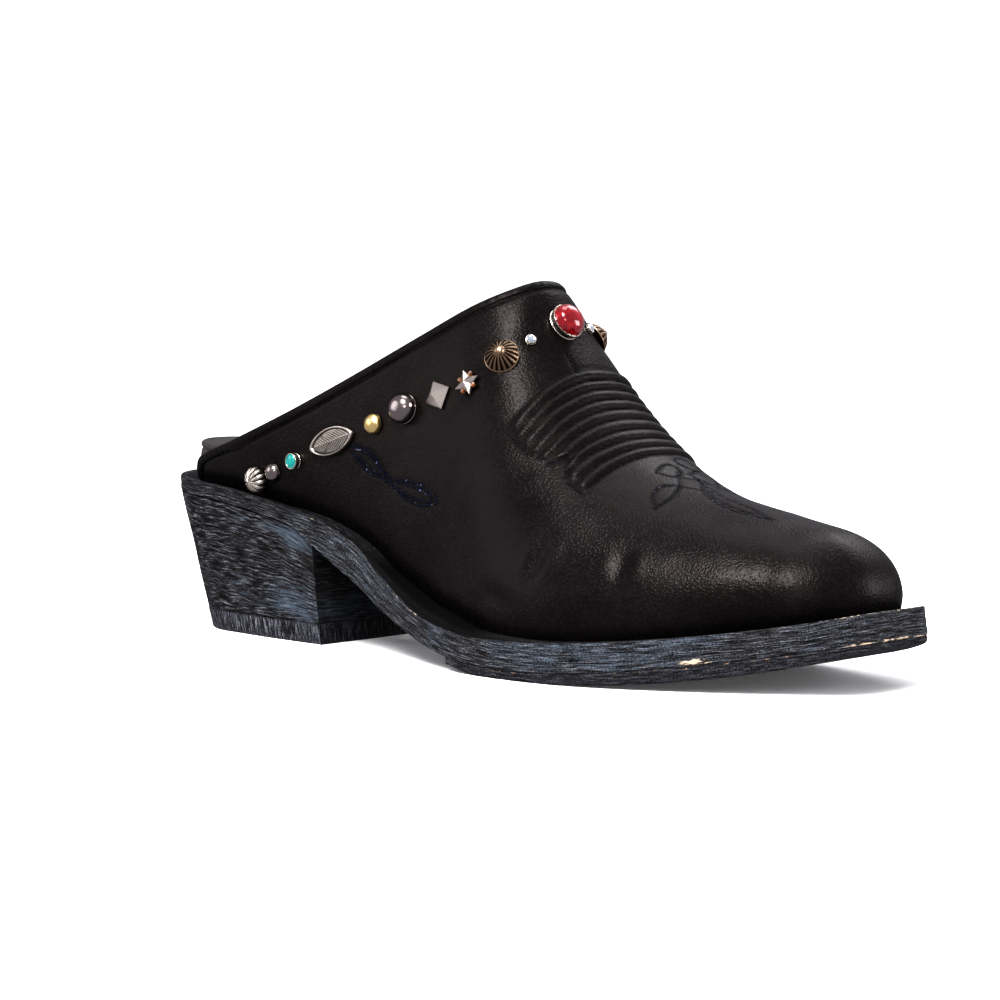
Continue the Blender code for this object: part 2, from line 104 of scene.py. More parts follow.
# shapes in mm, for numbers and for whole arrays of them
def smooth(rows, column, x):
    places, values = rows[:, 0], rows[:, column]
    count = len(places)
    low, high = np.maximum(np.arange(count) - 1, 0), np.minimum(np.arange(count) + 1, count - 1)
    slopes = (values[high] - values[low]) / (places[high] - places[low])
    k = np.clip(np.searchsorted(places, x, side="left") - 1, 0, count - 2)
    span = places[k + 1] - places[k]
    t = np.clip((x - places[k]) / span, 0.0, 1.0)
    return ((2 * t**3 - 3 * t**2 + 1) * values[k] + (t**3 - 2 * t**2 + t) * span * slopes[k]
            + (3 * t**2 - 2 * t**3) * values[k + 1] + (t**3 - t**2) * span * slopes[k + 1])


def fade(x, span):  # 1 before a span, 0 after it
    t = np.clip((x - span[0]) / (span[1] - span[0]), 0.0, 1.0)
    return 1 - 3 * t**2 + 2 * t**3


def soleHalf(x, side):
    half = smooth(soleRows, 1 if side == lateral else 2, x)
    back = np.clip((shoe["seatRadius"] - x) / shoe["seatRadius"], 0.0, 1.0)
    corner = np.clip(x - (shoe["soleLength"] - shoe["toeCorner"]), 0.0, shoe["toeCorner"])
    return half * np.sqrt(1 - back**2) - shoe["toeCorner"] + np.sqrt(shoe["toeCorner"]**2 - corner**2)


def soleTop(x):
    return smooth(soleRows, 3, x)


def soleUnderside(x):
    return smooth(soleRows, 4, x)


def lastPoint(across, x):
    # across is -1 at the lateral foot line, 0 on the ridge and 1 at the medial foot line
    across, x = np.broadcast_arrays(np.asarray(across, float), np.asarray(x, float))
    outer = across < 0
    angle = np.abs(across) * math.pi / 2
    power = 2 / np.where(outer, smooth(lastRows, 5, x), smooth(lastRows, 6, x))
    up = np.where(np.abs(across) < 1, np.maximum(np.cos(angle), 0.0), 0.0) ** power
    out = np.minimum(np.sin(angle), 1.0) ** power
    capStart = shoe["upperFront"] - shoe["toeCap"]
    toe = np.clip((x - capStart) / shoe["toeCap"], 0.0, 1.0)
    reach = toe * np.maximum(1 - out ** shoe["toeSquare"], 0.0) ** (1 / shoe["toeSquare"])
    x = np.minimum(x, capStart) + shoe["toeCap"] * reach
    foot = soleTop(x) + shoe["footGap"]
    rise = (smooth(lastRows, 3, x) - foot) * np.sqrt(1 - toe ** shoe["capFall"]) * up
    lean = smooth(lastRows, 4, x) * up ** (2 - fade(x, shoe["leanFade"]))
    tuck = shoe["tuck"] * (1 - shoe["tuckEase"] * reach) * np.exp(-rise / shoe["tuckHeight"])
    half = np.where(outer, smooth(lastRows, 1, x), smooth(lastRows, 2, x)) - tuck
    x = x - tuck * reach
    return np.stack([x, np.where(outer, -1, 1) * out * half + lean, soleTop(x) + shoe["footGap"] + rise], -1)


def unit(vectors):
    return vectors / np.maximum(np.linalg.norm(vectors, axis=-1, keepdims=True), 1e-9)


def lastNormal(across, x, step=0.5, turn=0.005):
    across = np.clip(across, -0.985, 0.985)  # short of the foot line, where the last ends in an edge
    x = np.clip(x, shoe["upperBack"], shoe["upperFront"] - step)
    along = lastPoint(across, x + step) - lastPoint(across, x - step)
    return unit(np.cross(along, lastPoint(across + turn, x) - lastPoint(across - turn, x)))


def halved(low, high, tooFar, steps=40):
    # the places where tooFar turns true, between low and high
    low, high = np.array(low, float), np.array(high, float)
    for _ in range(steps):
        middle = (low + high) / 2
        beyond = tooFar(middle)
        low, high = np.where(beyond, low, middle), np.where(beyond, middle, high)
    return high


def toplineStart(across):
    across = np.asarray(across, float)
    column = np.where(across < 0, 1, 2)

    def below(x):
        height = np.where(column == 1, smooth(toplineRows, 1, x), smooth(toplineRows, 2, x))
        return lastPoint(across, x)[..., 2] <= height

    found = halved(np.full(across.shape, shoe["upperBack"]), np.full(across.shape, shoe["peak"]), below)
    return np.where(np.abs(across) < 1, found, shoe["upperBack"])


def acrossAtHeight(x, height, side):
    return side * float(halved(0.0, 1.0, lambda middle: lastPoint(side * middle, x)[..., 2] <= height))


halfWidths = [soleHalf(np.arange(int(shoe["soleLength"])), side).max() for side in (lateral, medial)]
middle = np.array((shoe["soleLength"] / 2, (halfWidths[1] - halfWidths[0]) / 2, 0.0))


def toFrame(points):
    return (np.asarray(points, float) - middle) * mm


# curves and meshes
def curveThrough(points, count):
    # a smooth curve through points; a doubled point makes a corner
    points = np.array(points, float)
    ends = np.concatenate([2 * points[:1] - points[1:2], points, 2 * points[-1:] - points[-2:-1]])
    t = np.linspace(0, len(points) - 1, count)
    k = np.minimum(t.astype(int), len(points) - 2)
    u = (t - k)[:, None]
    a, b, c, d = (ends[k + i] for i in range(4))
    return 0.5 * (2 * b + (c - a) * u + (2 * a - 5 * b + 4 * c - d) * u**2 + (3 * b - a - 3 * c + d) * u**3)


def lengthAlong(points):
    return np.concatenate([[0.0], np.cumsum(np.linalg.norm(np.diff(points, axis=0), axis=-1))])


def evenly(points, count):
    along = lengthAlong(points)
    t = np.linspace(0, along[-1], count)
    return np.stack([np.interp(t, along, column) for column in points.T], -1)


def distanceTo(points, path):
    # distance of every point to a path, and how far along the path it is met, from 0 to 1
    nearest, share = np.full(len(points), 1e9), np.zeros(len(points))
    along = lengthAlong(path)
    for start, end, begin, stop in zip(path[:-1], path[1:], along[:-1], along[1:]):
        step = end - start
        t = np.clip(((points - start) @ step) / max(step @ step, 1e-9), 0, 1)
        distance = np.linalg.norm(points - start - t[:, None] * step, axis=1)
        closer = distance < nearest
        nearest[closer] = distance[closer]
        share[closer] = ((begin + t * (stop - begin)) / along[-1])[closer]
    return nearest, share


def roughly(points, size, seed=0.0):
    # soft noise from -1 to 1, with humps of about a size in mm
    shift = Vector((seed, seed * 0.7, -seed))
    return np.array([noise.noise(Vector(point) / size + shift) for point in points.reshape(-1, 3)]
                    ).reshape(points.shape[:-1])


def loft(name, rings, material, edge=None, marks=None, capped=True, sharp=50.0):
    # a closed solid through rings of equal size, in mm; capped ends are strips from side to side
    levels, size = rings.shape[:2]
    index = np.arange(levels * size).reshape(levels, size)
    onward = np.roll(index, -1, axis=1)
    faces = np.stack([index[:-1], onward[:-1], onward[1:], index[1:]], -1).reshape(-1, 4)
    corners = None
    if edge is not None:
        corners = np.stack([edge[:-1, :-1], edge[:-1, 1:], edge[1:, 1:], edge[1:, :-1]], 2).reshape(-1, 4, 2)
    if capped:
        i = np.arange(size // 2 - 1)
        strip = np.stack([i, i + 1, size - 2 - i, size - 1 - i], -1)
        faces = np.concatenate([faces, strip + (levels - 1) * size, strip[:, ::-1]])
        if edge is not None:
            corners = np.concatenate([corners, edge[-1][strip], edge[0][strip[:, ::-1]]])
    mesh = bpy.data.meshes.new(name)
    mesh.from_pydata(toFrame(rings.reshape(-1, 3)), [], faces.tolist())
    if edge is not None:
        mesh.uv_layers.new(name="edge").data.foreach_set("uv", corners.astype(np.float32).ravel())
    for label, values in (marks or {}).items():
        layer = mesh.attributes.new(label, "FLOAT", "POINT")
        layer.data.foreach_set("value", np.ascontiguousarray(values, np.float32).ravel())
    shape = bmesh.new()
    shape.from_mesh(mesh)
    bmesh.ops.remove_doubles(shape, verts=shape.verts, dist=0.002 * mm)
    bmesh.ops.recalc_face_normals(shape, faces=shape.faces)
    shape.to_mesh(mesh)
    shape.free()
    mesh.shade_smooth()
    mesh.set_sharp_from_angle(angle=math.radians(sharp))
    mesh.materials.append(material)
    piece = bpy.data.objects.new(name, mesh)
    bpy.context.scene.collection.objects.link(piece)
    return piece


def finishPiece(piece, node=None):
    if node:
        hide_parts(node)
    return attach(piece, "root")


# materials
def linear(code):  # an sRGB hex value as linear RGBA
    channels = [int(code[i:i + 2], 16) / 255 for i in (1, 3, 5)]
    return (*[c / 12.92 if c <= 0.04045 else ((c + 0.055) / 1.055) ** 2.4 for c in channels], 1.0)


def addNode(tree, kind, inputs=None, stops=(), **settings):
    node = kind if isinstance(kind, bpy.types.Node) else tree.nodes.new(kind)
    for name, value in settings.items():
        setattr(node, name, value)
    for i, (place, code) in enumerate(stops):
        stop = node.color_ramp.elements[i] if i < 2 else node.color_ramp.elements.new(place)
        stop.position = place
        stop.color = linear(code)
    for name, value in (inputs or {}).items():
        if isinstance(value, bpy.types.Node):  # a node stands for its first live output
            value = next(socket for socket in value.outputs if socket.enabled)
        if isinstance(value, bpy.types.NodeSocket):
            tree.links.new(value, node.inputs[name])
        else:
            node.inputs[name].default_value = value
    return node


def newMaterial(name):
    made = bpy.data.materials.new(name)
    made.use_nodes = True
    return made, made.node_tree, made.node_tree.nodes["Principled BSDF"]


pebbles = {  # sizes in shares of one pebble, the clouds in mm
    "drift": 2.2, "bend": 0.6, "wrinkle": 0.35, "wrinkleHeight": 0.35, "crown": (0.62, 0.08),
    "cloud": 28.0, "cloudEdge": (0.35, 0.68), "glossEdge": (0.3, 0.7), "seamPaintedShade": 0.85, "seamMatt": 0.35}


def pebbledLeather(name, look):
    # drum-dyed calf: a fine wrinkled grain that breaks the light into sparks, with painted shade in its
    # furrows and seams
    made, tree, shader = newMaterial(name)
    pebble = look["grain"] * mm
    spot = addNode(tree, "ShaderNodeTexCoord").outputs["Object"]
    drift = addNode(tree, "ShaderNodeTexNoise", {"Vector": spot, "Scale": 1 / (pebbles["drift"] * pebble),
                                                 "Detail": 2.0}).outputs["Color"]
    bent = addNode(tree, "ShaderNodeVectorMath", {0: drift, 1: [pebbles["bend"] * pebble] * 3, 2: spot},
                   operation="MULTIPLY_ADD")
    cells = addNode(tree, "ShaderNodeTexVoronoi", {"Vector": bent, "Scale": 1 / pebble, "Smoothness": 0.35},
                    feature="SMOOTH_F1")
    raised = addNode(tree, "ShaderNodeMapRange", {"Value": cells, "From Min": pebbles["crown"][0],
                                                  "From Max": pebbles["crown"][1]},
                     interpolation_type="SMOOTHSTEP")
    fine = addNode(tree, "ShaderNodeTexNoise", {"Vector": spot, "Scale": 1 / (pebbles["wrinkle"] * pebble),
                                                "Detail": 3.0})
    height = addNode(tree, "ShaderNodeMath", {0: fine, 1: pebbles["wrinkleHeight"], 2: raised},
                     operation="MULTIPLY_ADD")
    patch = addNode(tree, "ShaderNodeTexNoise", {"Vector": spot, "Scale": 1 / (pebbles["cloud"] * mm),
                                                 "Detail": 3.0, "Roughness": 0.6})
    cloudy = addNode(tree, "ShaderNodeMapRange", {"Value": patch, "From Min": pebbles["cloudEdge"][0],
                                                  "From Max": pebbles["cloudEdge"][1]})
    hide = addNode(tree, "ShaderNodeMix", {0: cloudy, 6: linear(look["base"]), 7: linear(look["patch"])},
                   data_type="RGBA")
    seamShade = addNode(tree, "ShaderNodeAttribute", attribute_name="groove").outputs["Fac"]
    # painted shade: the grain's furrows are darkened by the look's furrow share, and the stitched lines
    # marked in the groove attribute by a further share
    furrow = addNode(tree, "ShaderNodeMapRange", {"Value": raised, "To Min": look["furrow"], "To Max": 1.0})
    clear = addNode(tree, "ShaderNodeMath", {0: seamShade, 1: -pebbles["seamPaintedShade"], 2: 1.0},
                    operation="MULTIPLY_ADD")
    lit = addNode(tree, "ShaderNodeMath", {0: furrow, 1: clear}, operation="MULTIPLY")
    shaded = addNode(tree, "ShaderNodeMix", {0: 1.0, 6: hide, 7: lit}, data_type="RGBA",
                     blend_type="MULTIPLY")
    gloss = addNode(tree, "ShaderNodeMapRange", {"Value": patch, "From Min": pebbles["glossEdge"][0],
                                                 "From Max": pebbles["glossEdge"][1],
                                                 "To Min": look["roughness"][0],
                                                 "To Max": look["roughness"][1]})
    rough = addNode(tree, "ShaderNodeMath", {0: seamShade, 1: pebbles["seamMatt"], 2: gloss},
                    operation="MULTIPLY_ADD")
    bump = addNode(tree, "ShaderNodeBump", {"Strength": look["strength"], "Distance": look["depth"] * mm,
                                            "Height": height})
    addNode(tree, shader, {"Base Color": shaded, "Roughness": rough, "Normal": bump,
                           "Specular IOR Level": look["specular"], "Specular Tint": linear("#fff4f2")})
    return made


paint = {  # sizes in mm, and how much of each pattern goes into the blue and the wear
    "waver": 9.0, "grain": 0.55, "cloud": 15.0, "fleck": (2.4, 0.7), "flatFrom": 0.8, "breastFrom": 0.8,
    "cloudShare": 0.6, "strokeShare": 1.5, "blueEdge": (1.30, 1.75), "bluest": 0.82,
    "wearShare": 0.6, "bareEdge": (0.80, 0.93)}


def paintedLeather(name, look):
    # sole leather painted black and brushed: grey strokes, blue-grey patches, tan flecks where it is worn,
    # and painted shade on the heel's breast and where the groove mark asks for it
    made, tree, shader = newMaterial(name)
    around = addNode(tree, "ShaderNodeUVMap", uv_map="edge")
    spot = addNode(tree, "ShaderNodeTexCoord").outputs["Object"]
    inMm = addNode(tree, "ShaderNodeVectorMath", {0: spot, "Scale": 1 / mm}, operation="SCALE")
    facing = addNode(tree, "ShaderNodeSeparateXYZ",
                     {0: addNode(tree, "ShaderNodeNewGeometry").outputs["Normal"]}).outputs
    level = addNode(tree, "ShaderNodeMath", {0: facing["Z"]}, operation="ABSOLUTE")
    isFlat = addNode(tree, "ShaderNodeMath", {0: level, 1: paint["flatFrom"]}, operation="GREATER_THAN")
    place = addNode(tree, "ShaderNodeMix", {0: isFlat, 4: around, 5: inMm}, data_type="VECTOR")
    waver = addNode(tree, "ShaderNodeTexNoise", {"Vector": place, "Scale": 1 / paint["waver"], "Detail": 1.0})
    wavy = addNode(tree, "ShaderNodeVectorMath", {0: waver.outputs["Color"], 1: (0.0, look["waver"], 0.0),
                                                  2: place}, operation="MULTIPLY_ADD")
    grain = addNode(tree, "ShaderNodeTexNoise", {"Vector": place, "Scale": 1 / paint["grain"], "Detail": 2.0})
    strokes = []
    for length, breadth, shift in look["strokes"]:
        scaled = addNode(tree, "ShaderNodeMapping", {"Vector": wavy, "Location": (shift, shift, shift),
                                                     "Scale": (1 / length, 1 / breadth, 1.0)})
        drawn = addNode(tree, "ShaderNodeTexNoise", {"Vector": scaled, "Scale": 1.0, "Detail": 6.0,
                                                     "Roughness": 0.75})
        broken = addNode(tree, "ShaderNodeMix", {0: look["grain"], 2: drawn, 3: grain}, data_type="FLOAT")
        strokes.append(broken)
    grey = addNode(tree, "ShaderNodeValToRGB", {0: strokes[0]}, stops=look["strokeColours"])
    cloud = addNode(tree, "ShaderNodeTexNoise", {"Vector": spot, "Scale": 1 / (paint["cloud"] * mm),
                                                 "Detail": 3.0})
    tint = addNode(tree, "ShaderNodeAttribute", attribute_name="tint").outputs["Fac"]
    blueness = addNode(tree, "ShaderNodeMath", {0: cloud, 1: paint["cloudShare"], 2: tint},
                       operation="MULTIPLY_ADD")
    reach = addNode(tree, "ShaderNodeMath", {0: strokes[1], 1: paint["strokeShare"], 2: blueness},
                    operation="MULTIPLY_ADD")
    blue = addNode(tree, "ShaderNodeMapRange", {"Value": reach, "From Min": paint["blueEdge"][0],
                                                "From Max": paint["blueEdge"][1], "To Max": paint["bluest"]})
    painted = addNode(tree, "ShaderNodeMix", {0: blue, 6: grey, 7: linear(look["blue"])}, data_type="RGBA")
    groove = addNode(tree, "ShaderNodeAttribute", attribute_name="groove").outputs["Fac"]
    # the heel's breast, which faces forward behind the middle of the shoe, is painted darker as shade; the
    # groove mark darkens towards the line colour both for dark layer lines and for painted shade
    ahead = addNode(tree, "ShaderNodeMath", {0: facing["X"], 1: paint["breastFrom"]},
                    operation="GREATER_THAN")
    spotX = addNode(tree, "ShaderNodeSeparateXYZ", {0: spot}).outputs["X"]
    behind = addNode(tree, "ShaderNodeMath", {0: spotX, 1: 0.0}, operation="LESS_THAN")
    shade = addNode(tree, "ShaderNodeMath", {0: ahead, 1: behind}, operation="MULTIPLY")
    dark = addNode(tree, "ShaderNodeMath", {0: shade, 1: look["breast"], 2: groove},
                   operation="MULTIPLY_ADD", use_clamp=True)
    linedAndShaded = addNode(tree, "ShaderNodeMix", {0: dark, 6: painted, 7: linear(look["line"])}, data_type="RGBA")
    wear = addNode(tree, "ShaderNodeAttribute", attribute_name="wear").outputs["Fac"]
    length, breadth = paint["fleck"]
    flecks = addNode(tree, "ShaderNodeMapping", {"Vector": wavy, "Scale": (1 / length, 1 / breadth, 1.0)})
    chip = addNode(tree, "ShaderNodeTexNoise", {"Vector": flecks, "Scale": 1.0, "Detail": 3.0,
                                                "Roughness": 0.6})
    rubbed = addNode(tree, "ShaderNodeMath", {0: wear, 1: paint["wearShare"], 2: chip},
                     operation="MULTIPLY_ADD")
    bare = addNode(tree, "ShaderNodeMapRange", {"Value": rubbed, "From Min": paint["bareEdge"][0],
                                                "From Max": paint["bareEdge"][1]})
    tan = addNode(tree, "ShaderNodeValToRGB", {0: strokes[0]}, stops=look["bare"])
    worn = addNode(tree, "ShaderNodeMix", {0: bare, 6: linedAndShaded, 7: tan}, data_type="RGBA")
    bump = addNode(tree, "ShaderNodeBump", {"Strength": 0.8, "Distance": look["depth"] * mm,
                                            "Height": strokes[0]})
    addNode(tree, shader, {"Base Color": worn, "Roughness": look["roughness"], "Normal": bump,
                           "Specular IOR Level": 0.15})
    return made


patina = {"stain": 1.6, "scratch": 0.45, "scratchDepth": 0.04}  # in mm


def metal(name, look):
    # cast or stamped metal: bright where it is rubbed, dark oxide left in its grooves, fine scratches
    made, tree, shader = newMaterial(name)
    spot = addNode(tree, "ShaderNodeTexCoord").outputs["Object"]
    groove = addNode(tree, "ShaderNodeAttribute", attribute_name="groove").outputs["Fac"]
    stain = addNode(tree, "ShaderNodeTexNoise", {"Vector": spot, "Scale": 1 / (patina["stain"] * mm),
                                                 "Detail": 4.0})
    dull = addNode(tree, "ShaderNodeMath", {0: stain, 1: look["stain"], 2: groove}, operation="MULTIPLY_ADD",
                   use_clamp=True)
    colour = addNode(tree, "ShaderNodeMix", {0: dull, 6: linear(look["bright"]), 7: linear(look["dark"])},
                     data_type="RGBA")
    gloss = addNode(tree, "ShaderNodeMapRange", {"Value": dull, "To Min": look["roughness"][0],
                                                 "To Max": look["roughness"][1]})
    scratch = addNode(tree, "ShaderNodeTexNoise", {"Vector": spot, "Scale": 1 / (patina["scratch"] * mm),
                                                   "Detail": 2.0})
    bump = addNode(tree, "ShaderNodeBump", {"Strength": look["scratch"], "Height": scratch,
                                            "Distance": patina["scratchDepth"] * mm})
    addNode(tree, shader, {"Base Color": colour, "Metallic": 1.0, "Roughness": gloss, "Normal": bump})
    return made


def stone(name, look):
    # polished glass or stone: an even colour with darker veins under a clear gloss
    made, tree, shader = newMaterial(name)
    spot = addNode(tree, "ShaderNodeTexCoord").outputs["Object"]
    veins = addNode(tree, "ShaderNodeTexNoise", {"Vector": spot, "Scale": 1 / (look["vein"] * mm),
                                                 "Detail": 4.0, "Distortion": 1.2})
    colour = addNode(tree, "ShaderNodeValToRGB", {0: veins}, stops=look["colours"])
    addNode(tree, shader, {"Base Color": colour, "Metallic": look["foil"], "Roughness": look["roughness"],
                           "Coat Weight": look["coat"], "Coat Roughness": 0.04})
    return made


# in mm; the real plies are too fine to show, so they are drawn coarser
twist = {"ply": 1.1, "fleck": 1.5, "fleckEdge": 0.05}


def twistedThread(name, look):
    # bonded nylon thread: a soft sheen over two slanting plies painted in a lit and a shaded colour, and pale
    # flecks
    made, tree, shader = newMaterial(name)
    spot = addNode(tree, "ShaderNodeTexCoord").outputs["Object"]
    plies = addNode(tree, "ShaderNodeTexWave", {"Vector": spot, "Scale": 1 / (twist["ply"] * mm),
                                                "Distortion": 1.5}, bands_direction="DIAGONAL").outputs["Fac"]
    # painted highlight and shade: the plies' crests take the lit colour and their hollows the shaded one
    colour = addNode(tree, "ShaderNodeMix", {0: plies, 6: linear(look["deep"]), 7: linear(look["lit"])},
                     data_type="RGBA")
    chance = addNode(tree, "ShaderNodeTexNoise", {"Vector": spot, "Scale": 1 / (twist["fleck"] * mm),
                                                  "Detail": 1.0})
    rubbed = addNode(tree, "ShaderNodeMapRange", {"Value": chance, "From Min": look["rubbed"],
                                                  "From Max": look["rubbed"] + twist["fleckEdge"]})
    flecked = addNode(tree, "ShaderNodeMix", {0: rubbed, 6: colour, 7: linear(look["fleck"])},
                      data_type="RGBA")
    addNode(tree, shader, {"Base Color": flecked, "Roughness": look["roughness"], "Sheen Weight": 0.05,
                           "Sheen Roughness": 0.4, "Specular IOR Level": 0.08})
    return made


blackLeather = pebbledLeather("blackCalfLeather", {  # waxed: broad dim highlights with a grainy edge
    "base": "#141010", "patch": "#1d1919", "furrow": 0.5, "grain": 0.85, "depth": 0.13, "strength": 0.40,
    "roughness": (0.32, 0.40), "specular": 0.17})
liningLeather = pebbledLeather("liningPigskin", {  # unpolished: matt dark grey
    "base": "#211e1d", "patch": "#2e2a28", "furrow": 0.7, "grain": 0.8, "depth": 0.08, "strength": 0.4,
    "roughness": (0.55, 0.68), "specular": 0.2})
padLeather = pebbledLeather("insoleSatinLeather", {  # glazed: a satin shine on a dark grey pad
    "base": "#2b2827", "patch": "#3a3634", "furrow": 0.8, "grain": 0.7, "depth": 0.06, "strength": 0.35,
    "roughness": (0.36, 0.46), "specular": 0.3})
bindingLeather = pebbledLeather("foldedBindingLeather", {  # thin kid: a narrow light along the fold
    "base": "#100e0d", "patch": "#191615", "furrow": 0.6, "grain": 0.7, "depth": 0.10, "strength": 0.5,
    "roughness": (0.34, 0.42), "specular": 0.16})
# in each look, breast is how much painted shade darkens a heel's breast, and line is the colour of dark layer
# lines and of painted shade
soleLeather = paintedLeather("paintedSoleLeather", {  # cut edge: strokes along it, dark between its layers
    "strokes": ((8.0, 0.30, 0.0), (13.0, 0.5, 31.0)), "waver": 0.9, "grain": 0.2, "depth": 0.25,
    "strokeColours": ((0.42, "#080707"), (0.49, "#1e1c1c"), (0.55, "#434448"), (0.64, "#80828a")),
    "blue": "#627281", "line": "#0b0a0a", "breast": 0.6, "bare": ((0.3, "#86705c"), (0.7, "#d9c8b2")),
    "roughness": 0.72})
stackLeather = paintedLeather("paintedStackLeather", {  # stacked lifts: broader strokes, blue where rubbed
    "strokes": ((7.5, 0.62, 7.0), (12.0, 0.95, 23.0)), "waver": 1.8, "grain": 0.12, "depth": 0.3,
    "strokeColours": ((0.43, "#080707"), (0.50, "#1d1a1a"), (0.57, "#454549"), (0.68, "#88888e")),
    "blue": "#5d6c7a", "line": "#0b0a0a", "breast": 0.6, "bare": ((0.3, "#7a5a42"), (0.7, "#c4aa90")),
    "roughness": 0.72})
treadRubber = paintedLeather("treadRubber", {  # moulded: darker and plainer than the leather above it
    "strokes": ((6.0, 0.5, 3.0), (9.0, 0.7, 17.0)), "waver": 0.8, "grain": 0.3, "depth": 0.15,
    "strokeColours": ((0.40, "#0e0e10"), (0.48, "#1c1c1f"), (0.56, "#38383c"), (0.68, "#64646c")),
    "blue": "#4c5a66", "line": "#0a0909", "breast": 0.3, "bare": ((0.3, "#6b5240"), (0.7, "#a58a6f")),
    "roughness": 0.78})
liftRubber = paintedLeather("brushedLiftRubber", {  # scoured upright: short grey hairs from top to bottom
    "strokes": ((0.7, 6.0, 5.0), (1.0, 9.0, 11.0)), "waver": 0.7, "grain": 0.15, "depth": 0.2,
    "strokeColours": ((0.40, "#080708"), (0.48, "#1c1b1e"), (0.55, "#494a50"), (0.64, "#8a8b92")),
    "blue": "#5d6c7a", "line": "#0a0909", "breast": 0.6, "bare": ((0.3, "#6b5240"), (0.7, "#a58a6f")),
    "roughness": 0.74})
silver = metal("antiqueSilver", {  # oxidised and rubbed: warm white crests over brown grooves
    "bright": "#f4eade", "dark": "#2b2622", "stain": 0.18, "scratch": 0.3, "roughness": (0.24, 0.5)})
bronze = metal("antiqueBronze", {  # darkened: dull rose brown, near black between the ribs
    "bright": "#b39a82", "dark": "#241a15", "stain": 0.25, "scratch": 0.35, "roughness": (0.3, 0.55)})
gunmetal = metal("polishedGunmetal", {  # polished plating: grey mirror-like balls
    "bright": "#a49a98", "dark": "#2a2524", "stain": 0.15, "scratch": 0.1, "roughness": (0.2, 0.38)})
brass = metal("hammeredBrass", {  # hammered: a broken pale yellow shine
    "bright": "#ffe7a6", "dark": "#b07c36", "stain": 0.1, "scratch": 0.25, "roughness": (0.32, 0.5)})
redGlass = stone("redCabochonGlass", {  # pressed glass: deep red with faint darker veins and clear highlights
    "colours": ((0.3, "#5a0610"), (0.6, "#7c0a15"), (0.8, "#8c121d")), "vein": 3.5, "foil": 0.0,
    "roughness": 0.18, "coat": 1.0})
turquoise = stone("turquoiseStone", {  # tumbled stone: opaque blue-green with dark matrix veins
    "colours": ((0.32, "#04403f"), (0.45, "#067a76"), (0.8, "#0e928b")), "vein": 1.1, "foil": 0.0,
    "roughness": 0.3, "coat": 0.6})
crystal = stone("foiledCrystal", {  # cut glass on foil: facets that flash white and pale blue
    "colours": ((0.2, "#b9cbdc"), (0.8, "#f4f8fc")), "vein": 1.5, "foil": 0.85,
    "roughness": 0.05, "coat": 1.0})
amber = stone("amberGlass", {  # cut glass: brown with a warm glow
    "colours": ((0.3, "#2a1608"), (0.6, "#6f4320"), (0.8, "#a87840")), "vein": 1.2, "foil": 0.2,
    "roughness": 0.15, "coat": 1.0})
navyThread = twistedThread("navyThread", {
    "deep": "#06070f", "lit": "#101222", "fleck": "#4c5268", "rubbed": 0.66, "roughness": 0.5})
blackThread = twistedThread("blackThread", {
    "deep": "#070606", "lit": "#12100f", "fleck": "#2a2725", "rubbed": 0.70, "roughness": 0.5})
print("materials made")

# the camera at shoe height, with the shoe filling its view, and a pale studio
studio = {
    "camera": (0.688, -0.736, 0.133), "aim": (-0.004, 0.0, 0.047), "lens": 118.0, "look": "High Contrast",
    "sun": (20.0, 58.0, 42.0, 2.3),  # azimuth, elevation, spread, power
    "world": 0.37, "worldColour": "#f6f5ff", "floor": "#ffffff", "glow": 0.06, "floorRadius": 4.0,
    "backdropRadius": 8.0,
    "lights": (  # name, azimuth, elevation, distance, size, power
        ("keySoftbox", 22.0, 56.0, 1.3, 0.40, 14.5),
        ("frontSoftbox", 40.0, 24.0, 1.3, 0.16, 1.4),
        ("sideSoftbox", -42.0, 20.0, 1.5, 0.8, 3.2),
        ("toeSoftbox", 128.0, 14.0, 1.4, 0.6, 6.0),
        ("topSoftbox", 215.0, 76.0, 1.3, 0.6, 2.8),
        ("backSoftbox", 185.0, 46.0, 1.5, 0.7, 5.0)),
}


def direction(azimuth, elevation):
    a, e = math.radians(azimuth), math.radians(elevation)
    return Vector((math.sin(a) * math.cos(e), -math.cos(a) * math.cos(e), math.sin(e)))


